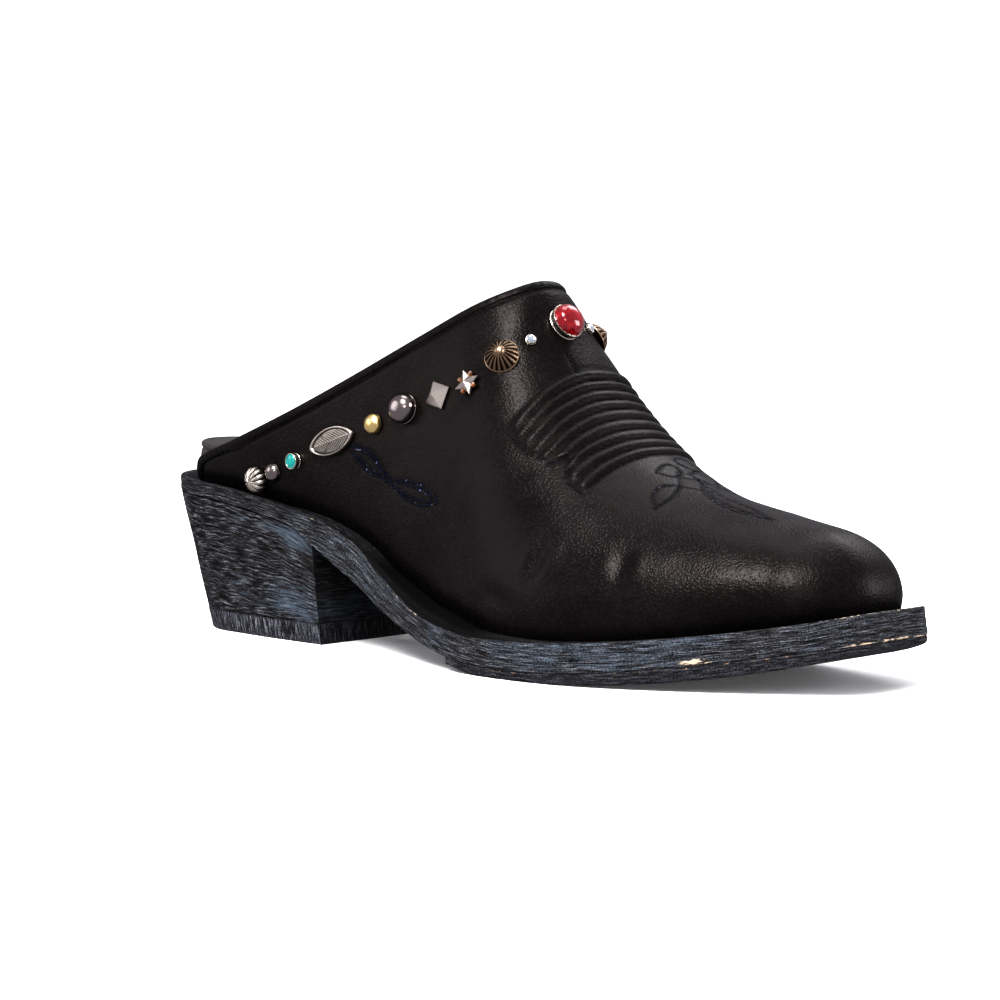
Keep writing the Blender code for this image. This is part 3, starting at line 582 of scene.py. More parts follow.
def makeStudio():
    scene = bpy.context.scene
    scene.view_settings.view_transform = "Standard"
    scene.view_settings.look = studio["look"]
    aim = Vector(studio["aim"])
    camera = bpy.data.objects.new("camera", bpy.data.cameras.new("camera"))
    camera.data.lens = studio["lens"]
    camera.data.sensor_width = 36.0
    camera.location = studio["camera"]
    camera.rotation_euler = (aim - camera.location).to_track_quat("-Z", "Y").to_euler()
    scene.collection.objects.link(camera)
    scene.camera = camera

    azimuth, elevation, spread, power = studio["sun"]
    sun = bpy.data.objects.new("window", bpy.data.lights.new("window", "SUN"))
    sun.data.angle = math.radians(spread)
    sun.data.energy = power
    sun.visible_glossy = False
    sun.rotation_euler = (-direction(azimuth, elevation)).to_track_quat("-Z", "Y").to_euler()
    scene.collection.objects.link(sun)
    for name, azimuth, elevation, distance, size, power in studio["lights"]:
        lamp = bpy.data.objects.new(name, bpy.data.lights.new(name, "AREA"))
        lamp.data.size = size
        lamp.data.energy = power
        lamp.location = aim + direction(azimuth, elevation) * distance
        lamp.rotation_euler = (aim - lamp.location).to_track_quat("-Z", "Y").to_euler()
        scene.collection.objects.link(lamp)

    world = bpy.data.worlds.new("studio")
    world.use_nodes = True
    world.node_tree.nodes["Background"].inputs["Color"].default_value = linear(studio["worldColour"])
    world.node_tree.nodes["Background"].inputs["Strength"].default_value = studio["world"]
    scene.world = world

    shape = bmesh.new()
    bmesh.ops.create_circle(shape, cap_ends=True, segments=96, radius=studio["floorRadius"])
    mesh = bpy.data.meshes.new("floor")
    shape.to_mesh(mesh)
    floor = bpy.data.objects.new("floor", mesh)
    paper, tree, shader = newMaterial("paperSweep")  # matt white paper
    addNode(tree, shader, {"Base Color": linear(studio["floor"]), "Roughness": 0.9,
                           "Specular IOR Level": 0.1, "Emission Color": (1.0, 1.0, 1.0, 1.0),
                           "Emission Strength": studio["glow"]})
    floor.visible_glossy = False
    mesh.materials.append(paper)

    shape.clear()
    bmesh.ops.create_icosphere(shape, subdivisions=4, radius=studio["backdropRadius"])
    mesh = bpy.data.meshes.new("backdrop")
    shape.to_mesh(mesh)
    shape.free()
    backdrop = bpy.data.objects.new("backdrop", mesh)
    white, tree, shader = newMaterial("litBackdrop")  # evenly lit white, seen only past the floor's edge
    addNode(tree, shader, {"Base Color": (0.0, 0.0, 0.0, 1.0), "Emission Color": (1.0, 1.0, 1.0, 1.0),
                           "Emission Strength": 1.0, "Specular IOR Level": 0.0})
    mesh.materials.append(white)
    backdrop.visible_diffuse = False
    backdrop.visible_glossy = False
    backdrop.visible_transmission = False
    backdrop.visible_shadow = False
    for thing in (floor, backdrop):
        scene.collection.objects.link(thing)


makeStudio()
print("studio made")

# the embroidery, as places on the last: (across, x)
embroidery = {
    "rowRidge": (166.3, 168.8, 171.2, 173.9, 176.8, 179.9, 183.3, 186.8, 190.1, 193.3),
    "rowEnds": {
        lateral: ((0.476, 161.4), (0.494, 163.9), (0.488, 166.4), (0.483, 169.5), (0.462, 172.9),
                  (0.446, 176.4), (0.357, 181.2), (0.415, 182.8), (0.446, 186.7), (0.441, 191.0)),
        medial: ((0.540, 156.4), (0.515, 160.2), (0.486, 163.5), (0.481, 166.7), (0.448, 170.1),
                 (0.438, 173.3), (0.335, 179.6), (0.417, 179.4), (0.451, 182.1), (0.446, 186.0))},
    "scallop": ((-0.357, 181.2), (-0.398, 181.6), (-0.434, 183.6), (-0.449, 187.0), (-0.441, 191.0)),
    "scallopMedial": ((0.335, 179.6), (0.385, 178.9), (0.417, 179.4), (0.451, 182.1), (0.446, 186.0)),
    "rowLeaf": ((-0.446, 176.4), (-0.416, 178.4), (-0.357, 181.2)),
    "rowLeafMedial": ((0.438, 173.3), (0.390, 175.6), (0.335, 179.6)),
    "bowLeaf": ((-0.104, 200.5), (-0.035, 198.4), (0.020, 198.2), (0.040, 200.7), (0.010, 203.2),
                (-0.054, 203.9), (-0.104, 200.5)),
    "knot": ((0.036, 200.7), (-0.012, 204.2), (-0.039, 205.9), (-0.094, 209.0)),
    "sideLeaf": ((-0.094, 209.0), (-0.138, 210.2), (-0.232, 212.0), (-0.322, 211.6), (-0.322, 211.6),
                 (-0.271, 208.0), (-0.206, 206.4), (-0.151, 206.8), (-0.094, 209.0)),
    "link": ((-0.094, 209.0), (-0.049, 211.9), (-0.024, 213.8)),
    "bowLine": ((-0.012, 204.2), (0.016, 205.7), (0.063, 207.0)),
    "petal": ((0.063, 207.0), (0.030, 210.2), (-0.035, 214.5), (-0.071, 218.0), (-0.114, 224.2),
              (-0.142, 230.3), (-0.149, 235.4), (-0.125, 241.0), (-0.125, 241.0), (-0.083, 236.2),
              (-0.030, 230.2), (-0.012, 224.9), (0.006, 219.0), (0.035, 213.0), (0.063, 207.0)),
    "petalInner": ((0.000, 214.5), (-0.050, 219.0), (-0.086, 225.0), (-0.108, 231.0), (-0.110, 235.4)),
    "backSeam": ((-0.077, 158.5), (-0.080, 162.5), (-0.084, 166.6)),
    "axis": 0.06, "axisShift": -3.5,  # the toe pattern is even about this line, its medial half further back
    # the tips of the two side leaves
    "motif": (((-0.866, 97.5), (-0.850, 113.6)), ((-0.849, 114.9), (-0.788, 139.2))),
    "motifWidth": 6.4, "motifKnot": ((-0.857, 113.6), (-0.841, 115.0)),
    "cord": 1.0, "rowEnd": (-0.030, 0.012),  # the padded cords' height, and how they fade out at their ends
    "furrow": (0.34, 0.45),                  # depth and half width of a stitched line
    "rowFurrow": 0.3, "motifFurrow": 0.6,    # depth between the cords, and the side leaves' share of a depth
}

# creases of wear: places on the last, depth and half width in mm
creases = (
    (((-0.655, 187.5), (-0.735, 186.6), (-0.820, 185.2)), 0.80, 2.1),
    (((-0.600, 211.5), (-0.669, 212.8), (-0.755, 212.8)), 0.544, 2.6),
    (((-0.700, 199.0), (-0.760, 199.5), (-0.830, 198.0)), 0.224, 3.0),
    (((-0.885, 164.0), (-0.911, 175.7), (-0.925, 184.0)), 0.32, 2.8),
    (((-0.508, 148.0), (-0.554, 141.0), (-0.621, 135.0)), 0.352, 3.0),
    (((-0.691, 120.0), (-0.655, 128.0), (-0.642, 137.0)), 0.352, 3.0),
    (((0.586, 160.7), (0.709, 160.1), (0.763, 163.1)), 0.96, 1.9),
    (((0.508, 174.1), (0.645, 180.3), (0.659, 184.9)), 0.88, 1.9),
    (((0.942, 152.0), (0.918, 166.0), (0.856, 180.4)), 0.88, 2.2),
    (((0.844, 144.8), (0.824, 150.0), (0.816, 156.2)), 0.56, 1.8),
    (((0.549, 167.0), (0.712, 169.0), (0.814, 172.0)), 0.72, 1.9),
    (((0.506, 184.0), (0.627, 190.0), (0.707, 194.0)), 0.64, 2.0),
    (((0.630, 150.0), (0.732, 150.0), (0.815, 153.0)), 0.48, 2.2),
)

upperSizes = {
    "grid": (190, 226, 26), "liningGrid": (96, 100, 16),  # lines across, rows to the toe cap, rows round it
    "leather": 1.1, "lining": 2.0, "between": 0.05,       # depths of their inner faces, and the gap
    "foot": 0.45, "footHeight": 1.5,                      # how far the edge at the sole reaches down
    "stitchOffset": 3.0, "bindingHeight": 2.3,
    "noise": 0.22, "lumps": (17.0, 7.0),                  # depth of soft lumps and their two sizes
    "pleats": 0.10, "pleatFade": (0.0, 6.0),              # small pleats that fade out above the sole
    "studDent": 0.35, "studDentWidth": 0.75,              # depth, and half width as a share of the stud
}


def toplinePath(count):
    # places and points along the topline, and the ways out of the leather and down from its edge
    across = np.sin(np.linspace(-1, 1, 3001) * math.pi / 2)
    start = toplineStart(across)
    places = np.stack([across, start], -1)
    along = lengthAlong(lastPoint(across, start))
    t = np.linspace(0, along[-1], count)
    across, x = (np.interp(t, along, column) for column in places.T)
    points = lastPoint(across, x)
    tangent = unit(np.gradient(points, axis=0))
    outward = lastNormal(across, x)
    outward = unit(outward - (outward * tangent).sum(-1, keepdims=True) * tangent)
    down = np.cross(outward, tangent)
    inward = lastPoint(across, x + 0.5) - points
    down *= np.sign((down * inward).sum(-1, keepdims=True))
    return across, x, points, outward, down


def belowTopline(offset, count, step=0.5):
    # places at an even distance below the topline
    across, x, points, _, down = toplinePath(count)
    sink = np.maximum(((lastPoint(across, x + step) - points) * down).sum(-1), 0.12)
    return across, x + np.minimum(step * offset / sink, 4 * offset)


def mirrored(places):
    return [(2 * embroidery["axis"] - across, x + embroidery["axisShift"]) for across, x in places]


def leafPlaces(start, end, width, trim=0.0):
    # a pointed oval between two places, as wide as given in mm
    t = np.concatenate([np.linspace(trim, 1 - trim, 15), np.linspace(1 - trim, trim, 15)])
    away = np.repeat((1.0, -1.0), 15) * np.sin(math.pi * t) ** 0.85
    centre = np.array(start) + t[:, None] * (np.array(end) - np.array(start))
    step = np.array((0.01, -0.01))  # the last's width there, in mm for a whole unit across
    stretch = np.linalg.norm(np.diff(lastPoint(start[0] + step, start[1]), axis=0)) / 0.02
    return [(across + width / 2 * shift / stretch, x) for (across, x), shift in zip(centre, away)]


def rowPlaces(row, side):
    reach, end = embroidery["rowEnds"][side][row]
    ridge = embroidery["rowRidge"][row]
    t = np.linspace(0, 1, 24)
    return [(side * reach * share, ridge - (ridge - end) * share**2) for share in t]


def embroideryPaths():
    # every stitched line but the side leaves, as fine polylines of places
    paths = {}
    for row in range(len(embroidery["rowRidge"])):
        paths[f"row{row}"] = np.array(rowPlaces(row, lateral)[::-1] + rowPlaces(row, medial)[1:])
    for name, count in (("scallop", 30), ("rowLeaf", 30), ("scallopMedial", 30), ("rowLeafMedial", 20)):
        paths[name] = curveThrough(embroidery[name], count)
    for name in ("bowLeaf", "knot", "sideLeaf", "link", "bowLine", "petal", "petalInner"):
        paths[name] = curveThrough(embroidery[name], 12 * len(embroidery[name]))
        paths[name + "Medial"] = curveThrough(mirrored(embroidery[name]), 12 * len(embroidery[name]))
    paths["backSeam"] = curveThrough(embroidery["backSeam"], 12)
    return paths


def motifPaths(side):
    paths = []
    for start, end in embroidery["motif"]:
        start, end = ((-side * across, x) for across, x in (start, end))
        for share, trim in ((1.0, 0.0), (0.52, 0.14)):  # each leaf and a smaller one inside it
            paths.append(np.array(leafPlaces(start, end, embroidery["motifWidth"] * share, trim)))
    knot = [(-side * across, x) for across, x in embroidery["motifKnot"]]
    crossing = [(knot[0][0], knot[1][1]), (knot[1][0], knot[0][1])]
    return paths + [curveThrough(knot, 6), curveThrough(crossing, 6)]


stitchedPaths = embroideryPaths()
sideMotifs = motifPaths(lateral) + motifPaths(medial)
toplineStitched = np.stack(belowTopline(upperSizes["stitchOffset"], 520), -1)
studRows = (  # kind, x, height on the lateral and the medial side, diameter, turn in degrees
    ("crystal", 155.5, 97.2, 99.8, 3.2, 0.0),
    ("ribbed_bronze", 151.0, 92.3, 96.4, 10.5, 0.0),
    ("star", 142.2, 84.1, 84.1, 9.2, 10.0),
    ("pyramid", 131.2, 80.0, 80.0, 10.2, 54.0),
    ("gunmetal_ball", 118.2, 75.4, 75.4, 9.4, 0.0),
    ("gold_dome", 106.6, 70.4, 70.4, 6.2, 0.0),
    ("marquise", 90.4, 64.4, 64.4, 18.6, -5.5),
    ("turquoise", 73.9, 57.4, 57.4, 5.2, 0.0),
    ("gunmetal_dot", 63.4, 53.2, 53.2, 6.0, 0.0),
    ("ribbed_silver", 55.9, 50.6, 50.6, 8.8, 0.0),
)
redPlace = {"across": 0.0, "x": 156.8, "diameter": 11.4}
studPlaces = {(kind, side): acrossAtHeight(x, heights[0] if side == lateral else heights[1], side)
              for kind, x, *heights, _, _ in studRows for side in (lateral, medial)}


def rowRelief(across, x):
    # the cords between the rows of stitches, puffed up between narrow furrows; and the furrows themselves, as
    # a mask for painted shade
    height, furrow = np.zeros(across.shape), np.zeros(across.shape)
    ridge = np.array(embroidery["rowRidge"])
    for side in (lateral, medial):
        reach, ends = np.array(embroidery["rowEnds"][side]).T
        here = np.where(across < 0, lateral, medial) == side
        share = np.abs(across[here])[:, None] / reach
        rows = np.maximum.accumulate(ridge - (ridge - ends) * share**2, axis=1)
        gaps = np.maximum(np.diff(rows, axis=1), 0.2)
        row = np.clip((x[here][:, None] - rows[:, :-1]) / gaps, 0, 1).sum(1)
        limit = np.interp(row, np.arange(len(reach)), reach)
        inside = fade(np.abs(across[here]) - limit, embroidery["rowEnd"])
        nearest = np.abs(x[here][:, None] - rows).min(1)
        line = np.exp(-(nearest / embroidery["furrow"][1]) ** 2) * inside
        cord = np.abs(np.sin(math.pi * row)) ** 0.5 * inside
        height[here] = embroidery["cord"] * cord - embroidery["rowFurrow"] * line
        furrow[here] = line
    return height, furrow


def relief(across, x):
    # how far the leather stands off the last in mm, and how far into a stitched line it lies, from 0 to 1,
    # the mask for painted shade in the stitched lines
    across, x = np.ravel(across), np.ravel(x)
    points = lastPoint(across, x)
    height, seamShade = rowRelief(across, x)
    depth, breadth = embroidery["furrow"]
    lines = [(path, depth) for name, path in stitchedPaths.items() if name[:3] != "row" or "Leaf" in name]
    lines += [(path, embroidery["motifFurrow"] * depth) for path in sideMotifs]
    for path, sunk in lines + [(toplineStitched[::4], depth)]:
        distance, _ = distanceTo(points, lastPoint(*path.T))
        pressed = np.exp(-(distance / breadth) ** 2)
        height -= sunk * pressed
        seamShade = np.maximum(seamShade, pressed)
    for places, sunk, breadth in creases:  # a fold, and the leather pushed up on one side of it
        distance, share = distanceTo(points, lastPoint(*curveThrough(places, 12).T))
        ends = np.sin(math.pi * np.clip(share, 0.02, 0.98)) ** 0.7
        fold = -np.exp(-(distance / breadth) ** 2) + 0.5 * np.exp(-((distance - 2 * breadth) / breadth) ** 2)
        height += sunk * ends * fold
    for kind, place, _, _, diameter, _ in studRows:
        for side in (lateral, medial):
            distance = np.linalg.norm(points - lastPoint(studPlaces[kind, side], place), axis=1)
            dent = np.exp(-(distance / (upperSizes["studDentWidth"] * diameter)) ** 2)
            height -= upperSizes["studDent"] * dent
    foot = fade(points[:, 2] - soleTop(points[:, 0]), upperSizes["pleatFade"])
    broad, small = upperSizes["lumps"]
    lumps = roughly(points, broad, 3.1) + 0.55 * roughly(points, small, 8.3)
    pleats = np.sin((points[:, 0] + 3 * roughly(points, 9.0, 1.7)) * 1.3)
    return height + upperSizes["noise"] * lumps * (1 - foot) + upperSizes["pleats"] * pleats * foot, seamShade


def upperGrid(lines, rows, capRows):
    t = np.linspace(-1, 1, lines)
    across = 0.25 * t + 0.75 * np.sin(t * math.pi / 2)
    start = toplineStart(across)
    capStart = shoe["upperFront"] - shoe["toeCap"]
    share = np.linspace(0, 1, rows)[None, :]
    body = start[:, None] + (capStart - start[:, None]) * share
    cap = capStart + shoe["toeCap"] * np.sin(np.linspace(0, 1, capRows + 1)[1:] * math.pi / 2)
    x = np.concatenate([body, np.tile(cap, (lines, 1))], axis=1)
    return np.tile(across[:, None], (1, x.shape[1])), x


def shell(name, material, grid, outer, inner, shaped):
    # a wall from one depth under the last's surface to another
    across, x = upperGrid(*grid)
    points, normals = lastPoint(across, x), lastNormal(across, x)
    rise = points[..., 2] - soleTop(points[..., 0]) - shoe["footGap"]
    points[..., 2] -= upperSizes["foot"] * np.exp(-rise / upperSizes["footHeight"])
    outerFace = points - outer * normals
    marks = {}
    if shaped:
        height, seamShade = (values.reshape(x.shape) for values in relief(across, x))
        outerFace = outerFace + height[..., None] * normals
        # the stitched lines' mask goes on as the groove attribute, where the leather is painted darker as
        # shade
        marks["groove"] = np.concatenate([seamShade, np.zeros(x.shape)], axis=1)
    innerFace = points - inner * normals
    rings = np.concatenate([outerFace, innerFace[:, ::-1]], axis=1)
    return loft(name, rings, material, marks=marks, sharp=70.0)


def makeUpper():
    depth = upperSizes["leather"]
    leather = shell("upperLeather", blackLeather, upperSizes["grid"], 0.0, depth, True)
    finishPiece(leather, "upper")
    lining = shell("lining", liningLeather, upperSizes["liningGrid"], depth + upperSizes["between"],
                   upperSizes["lining"], False)
    finishPiece(lining)


makeUpper()
print("upper and lining made")

# the folded binding on the topline, puckered a little between its stitches, in mm
bindingSizes = {"stations": 560, "proud": 0.42, "pucker": 0.05, "puckerPitch": 3.0, "inside": 0.35}


def makeBinding():
    _, _, points, outward, down = toplinePath(bindingSizes["stations"])
    proud, tall = bindingSizes["proud"], upperSizes["bindingHeight"]
    back = -(upperSizes["lining"] + bindingSizes["inside"])
    # its profile round the edge, as (out from the last, below the topline)
    half = [(-0.2, tall + 0.25), (proud * 0.6, tall), (proud, tall - 0.5), (proud + 0.05, tall * 0.45),
            (proud - 0.1, 0.15), (-0.25, -0.28), (back / 2, -0.42)]
    other = [(back / 2, -0.42), (back + 0.35, -0.25), (back + 0.02, 0.25), (back, tall * 0.5),
             (back + 0.1, tall - 0.3), (back + 0.5, tall + 0.2), (-1.0, tall + 0.3)]
    profile = np.concatenate([curveThrough(half, 13), curveThrough(other, 13)[1:]])
    pucker = bindingSizes["pucker"] * np.sin(lengthAlong(points) * math.tau / bindingSizes["puckerPitch"])
    outer = np.clip(profile[:, 0] / proud, 0, 1)
    shift = profile[None, :, :1] + pucker[:, None, None] * outer[None, :, None]
    rings = points[:, None] + outward[:, None] * shift + down[:, None] * profile[None, :, 1:]
    finishPiece(loft("toplineBinding", rings, bindingLeather, sharp=60.0))


makeBinding()
print("binding made")


# stitches: one tree strings small rounded threads along a path
stitchSizes = {  # pitch, length, width, thickness, and how far above the leather their middles lie, in mm
    "topline": (2.9, 2.3, 0.55, 0.42, 0.05), "rows": (1.65, 1.3, 0.6, 0.42, 0.08),
    "motifs": (1.1, 1.3, 0.9, 0.5, 0.10), "uneven": (0.88, 1.08), "seed": 7,
}


def stitchTree():
    tree = bpy.data.node_groups.new("stitchRow", "GeometryNodeTree")
    tree.interface.new_socket("Geometry", in_out="INPUT", socket_type="NodeSocketGeometry")
    for label in ("Pitch", "Length", "Width", "Thickness"):
        tree.interface.new_socket(label, in_out="INPUT", socket_type="NodeSocketFloat")
    tree.interface.new_socket("Seed", in_out="INPUT", socket_type="NodeSocketInt")
    tree.interface.new_socket("Thread", in_out="INPUT", socket_type="NodeSocketMaterial")
    tree.interface.new_socket("Geometry", in_out="OUTPUT", socket_type="NodeSocketGeometry")
    given = addNode(tree, "NodeGroupInput").outputs
    line = addNode(tree, "GeometryNodeMeshToCurve", {0: given["Geometry"]})
    spaced = addNode(tree, "GeometryNodeResampleCurve", {"Curve": line, "Length": given["Pitch"]},
                     mode="LENGTH")
    tangent = addNode(tree, "GeometryNodeInputTangent")
    outward = addNode(tree, "GeometryNodeInputNamedAttribute", {"Name": "outward"}, data_type="FLOAT_VECTOR")
    ahead = addNode(tree, "FunctionNodeAlignRotationToVector", {"Vector": tangent}, axis="X")
    laid = addNode(tree, "FunctionNodeAlignRotationToVector", {"Rotation": ahead, "Vector": outward},
                   axis="Z", pivot_axis="X")
    bead = addNode(tree, "GeometryNodeMeshUVSphere", {"Segments": 8, "Rings": 6, "Radius": 0.5})
    size = addNode(tree, "ShaderNodeCombineXYZ", {0: given["Length"], 1: given["Width"],
                                                  2: given["Thickness"]})
    thread = addNode(tree, "GeometryNodeTransform", {"Geometry": bead, "Scale": size})
    small, large = stitchSizes["uneven"]
    chance = addNode(tree, "FunctionNodeRandomValue", {2: small, 3: large, "Seed": given["Seed"]})
    strung = addNode(tree, "GeometryNodeInstanceOnPoints", {"Points": spaced, "Instance": thread,
                                                            "Rotation": laid, "Scale": chance})
    real = addNode(tree, "GeometryNodeRealizeInstances", {0: strung})
    smoothed = addNode(tree, "GeometryNodeSetShadeSmooth", {0: real})
    dyed = addNode(tree, "GeometryNodeSetMaterial", {"Geometry": smoothed, "Material": given["Thread"]})
    addNode(tree, "NodeGroupOutput", {0: dyed})
    return tree


stitchRow = stitchTree()


def sewn(name, paths, kind, material):
    pitch, length, width, thickness, lift = stitchSizes[kind]
    points, edges, normals = [], [], []
    for path in paths:
        across, x = evenly(np.asarray(path, float), max(len(path), 12)).T
        outward = lastNormal(across, x)
        first = sum(len(part) for part in points)
        edges += [(first + i, first + i + 1) for i in range(len(across) - 1)]
        points.append(lastPoint(across, x) + outward * (relief(across, x)[0] + lift)[:, None])
        normals.append(outward)
    mesh = bpy.data.meshes.new(name)
    mesh.from_pydata(toFrame(np.concatenate(points)), edges, [])
    layer = mesh.attributes.new("outward", "FLOAT_VECTOR", "POINT")
    layer.data.foreach_set("vector", np.concatenate(normals).astype(np.float32).ravel())
    guide = bpy.data.objects.new(name + "Guide", mesh)
    bpy.context.scene.collection.objects.link(guide)
    maker = guide.modifiers.new("stitches", "NODES")
    maker.node_group = stitchRow
    values = {"Pitch": pitch * mm, "Length": length * mm, "Width": width * mm, "Thickness": thickness * mm,
              "Seed": stitchSizes["seed"], "Thread": material}
    for item in stitchRow.interface.items_tree:
        if item.in_out == "INPUT" and item.name in values:
            maker[item.identifier] = values[item.name]
    bpy.context.view_layer.update()
    made = bpy.data.meshes.new_from_object(guide.evaluated_get(bpy.context.evaluated_depsgraph_get()))
    bpy.data.objects.remove(guide)
    made.name = name
    piece = bpy.data.objects.new(name, made)
    bpy.context.scene.collection.objects.link(piece)
    return finishPiece(piece)


sewn("toplineStitches", [toplineStitched], "topline", blackThread)
sewn("toeEmbroidery", list(stitchedPaths.values()), "rows", navyThread)
sewn("sideEmbroidery", sideMotifs, "motifs", navyThread)
print("stitches made")


# sole, heel and tread
def stations(start, end, count, roundStart=True, roundEnd=True):
    t = np.linspace(0, 1, count)
    if roundStart and roundEnd:
        t = (1 - np.cos(math.pi * t)) / 2
    elif roundStart:
        t = 1 - np.cos(math.pi * t / 2)
    elif roundEnd:
        t = np.sin(math.pi * t / 2)
    return start + (end - start) * t


def outline(xs, half, inset):
    # round the outer side forward and the inner side back, drawn in by inset
    sides = np.stack([xs, -half(xs, lateral)], -1), np.stack([xs, half(xs, medial)], -1)[::-1]
    points = np.concatenate(sides)
    along = np.roll(points, -1, axis=0) - np.roll(points, 1, axis=0)
    inward = unit(np.stack([-along[:, 1], along[:, 0]], -1))
    return points + inward * np.broadcast_to(inset, len(points))[:, None]


def rounding(height, radius):  # how far a rounded edge is drawn in at a height above it
    rest = np.clip(1 - height / radius, 0, 1)
    return radius * (1 - np.sqrt(1 - rest**2))


def aroundEdge(xs, half):
    # length around the outline for every point, and once more for the first
    points = outline(xs, half, 0.0)
    return lengthAlong(np.concatenate([points, points[:1]]))


def wobble(along, shift=0.0):  # the unevenness of an edge trimmed by hand
    return (np.sin(along / 7.3 + shift) * np.sin(along / 19.0 + 2 * shift)
            + 0.6 * np.sin(along / 3.1 + 3 * shift))


def bell(values, centre, breadth):
    return np.exp(-((values - centre) / breadth) ** 2)


def bells(x, rows):  # bumps of (height, centre, breadth), added up
    return sum(height * bell(x, centre, breadth) for height, centre, breadth in rows)


def layered(name, node, material, along, layers):
    # a solid from its foot up, as layers of: points, depth below its top edge, groove (dark lines and painted
    # shade), wear and tint
    rings, *marks = zip(*layers)
    depth, groove, wear, tint = (np.stack([np.broadcast_to(value, len(rings[0])) for value in values])
                                 for values in marks)
    edge = np.stack([np.tile(along, (len(rings), 1)), np.column_stack([depth, depth[:, 0]])], -1)
    piece = loft(name, np.array(rings), material, edge, {"groove": groove, "wear": wear, "tint": tint},
                 sharp=60.0)
    return finishPiece(piece, node)


outsoleSizes = {
    "stations": 300, "lean": 1.0, "round": 0.5, "topRound": 0.45, "handwork": 0.09,
    "layers": (0.33, 0.62), "layerWidth": 0.022, "groove": 0.20,  # places as shares of its height, and depth
    "rim": 1.7, "recess": 0.9, "recessFade": (62.0, 90.0), "seatFade": (76.0, 96.0),
    "waist": (140, 36), "inked": 0.28,  # its middle and half length, and the share of its height at the top painted black as shade under the upper's overhang
    # wear and blue paint, as bumps of (strength, x, half length)
    "upperWear": ((0.14, 98, 20), (0.2, 138, 14), (0.22, 280, 7)),
    "lowerWear": ((0.2, 240, 7), (0.36, 282, 9)), "chip": ((0.75, 240, 4.0),),
    "blue": ((0.18, 106, 34), (0.20, 205, 45), (0.14, 275, 25), (-0.10, 5, 40)),
    "lowBlack": ((0.12, 125, 30),),
}

heelSizes = {
    "breast": 85.0, "breastLean": 2.5, "backLean": 15.0, "taper": 0.09, "inset": 0.8, "stations": 120,
    "topLift": 6.5, "liftGap": 0.1, "tall": 35.0, "lifts": 7, "levels": 66, "groove": 0.06, "handwork": 0.12,
    "liftHandwork": 0.08, "forward": (84, 42),  # middle and half length of the front part, rubbed to blue
}


def makeOutsole():
    xs = stations(shoe["seatStart"], shoe["soleLength"], outsoleSizes["stations"])
    along = aroundEdge(xs, soleHalf)
    x = np.concatenate([xs, xs[::-1]])
    isLateral = np.arange(len(x)) < len(xs)
    thickness = soleTop(x) - soleUnderside(x)
    seat = fade(x, outsoleSizes["seatFade"])  # the heel seat's edge runs flush into the heel
    waist = bell(x, *outsoleSizes["waist"])
    inked = 1 - outsoleSizes["inked"] * waist
    upperWear, lowerWear, chip, blue, lowBlack = (
        bells(x, outsoleSizes[name]) for name in ("upperWear", "lowerWear", "chip", "blue", "lowBlack"))
    layers = []
    for share in np.concatenate([(0.0, 0.025, 0.06), np.linspace(0.1, 0.9, 22), (0.94, 0.975, 1.0)]):
        groove = sum(bell(share, layer, outsoleSizes["layerWidth"]) for layer in outsoleSizes["layers"])
        inset = seat * heelSizes["inset"] + (1 - seat) * outsoleSizes["lean"] * share
        inset = inset + (1 - 0.8 * seat) * rounding(thickness * share, outsoleSizes["round"])
        inset = inset + rounding(thickness * (1 - share), outsoleSizes["topRound"])
        inset = inset + outsoleSizes["groove"] * groove
        flat = outline(xs, soleHalf, inset + outsoleSizes["handwork"] * wobble(along[:-1], 5 * share))
        height = soleUnderside(flat[:, 0]) * (1 - share) + soleTop(flat[:, 0]) * share
        # painted shade: the top of the edge is black in the waist, where the upper overhangs it; round the
        # heel seat the edge grows darker towards the top
        black = np.clip((share - inked) / 0.05, 0, 1) + 0.5 * seat * (1 - bell(x, 92, 16)) * share
        wear = bell(share, inked - 0.01, 0.06) * (0.28 + upperWear)
        wear = wear + bell(share, 0.04, 0.08) * (0.22 + lowerWear)
        wear = wear + bell(share, 0.16, 0.10) * chip * isLateral
        tint = 0.08 + blue - bell(share, 0.2, 0.3) * lowBlack
        layers.append((np.column_stack([flat, height]), thickness * (1 - share),
                       np.minimum(0.5 * groove + black, 0.95), wear, tint))
    rim = outsoleSizes["rim"]  # the top is sunk inside this rim, for the pad; its sunk inner edge, and the whole top in the waist under the upper, are painted dark as shade
    for inset, drop in ((rim, 0.0), (rim + 0.5, 1.0)):
        flat = outline(xs, soleHalf, outsoleSizes["lean"] + inset)
        sunk = outsoleSizes["recess"] * drop * fade(flat[:, 0], outsoleSizes["recessFade"])
        layers.append((np.column_stack([flat, soleTop(flat[:, 0]) - sunk]), -inset,
                       np.maximum(0.6 * drop, np.minimum(1.6 * waist, 1)), 0.0, 0.0))
    layered("outsoleEdge", "outsole", soleLeather, along, layers)


halfSoleSizes = {"start": 156.0, "inset": 0.2, "round": 0.7, "topRound": 0.08, "under": 0.05,
                 "handwork": 0.06, "stations": 240}


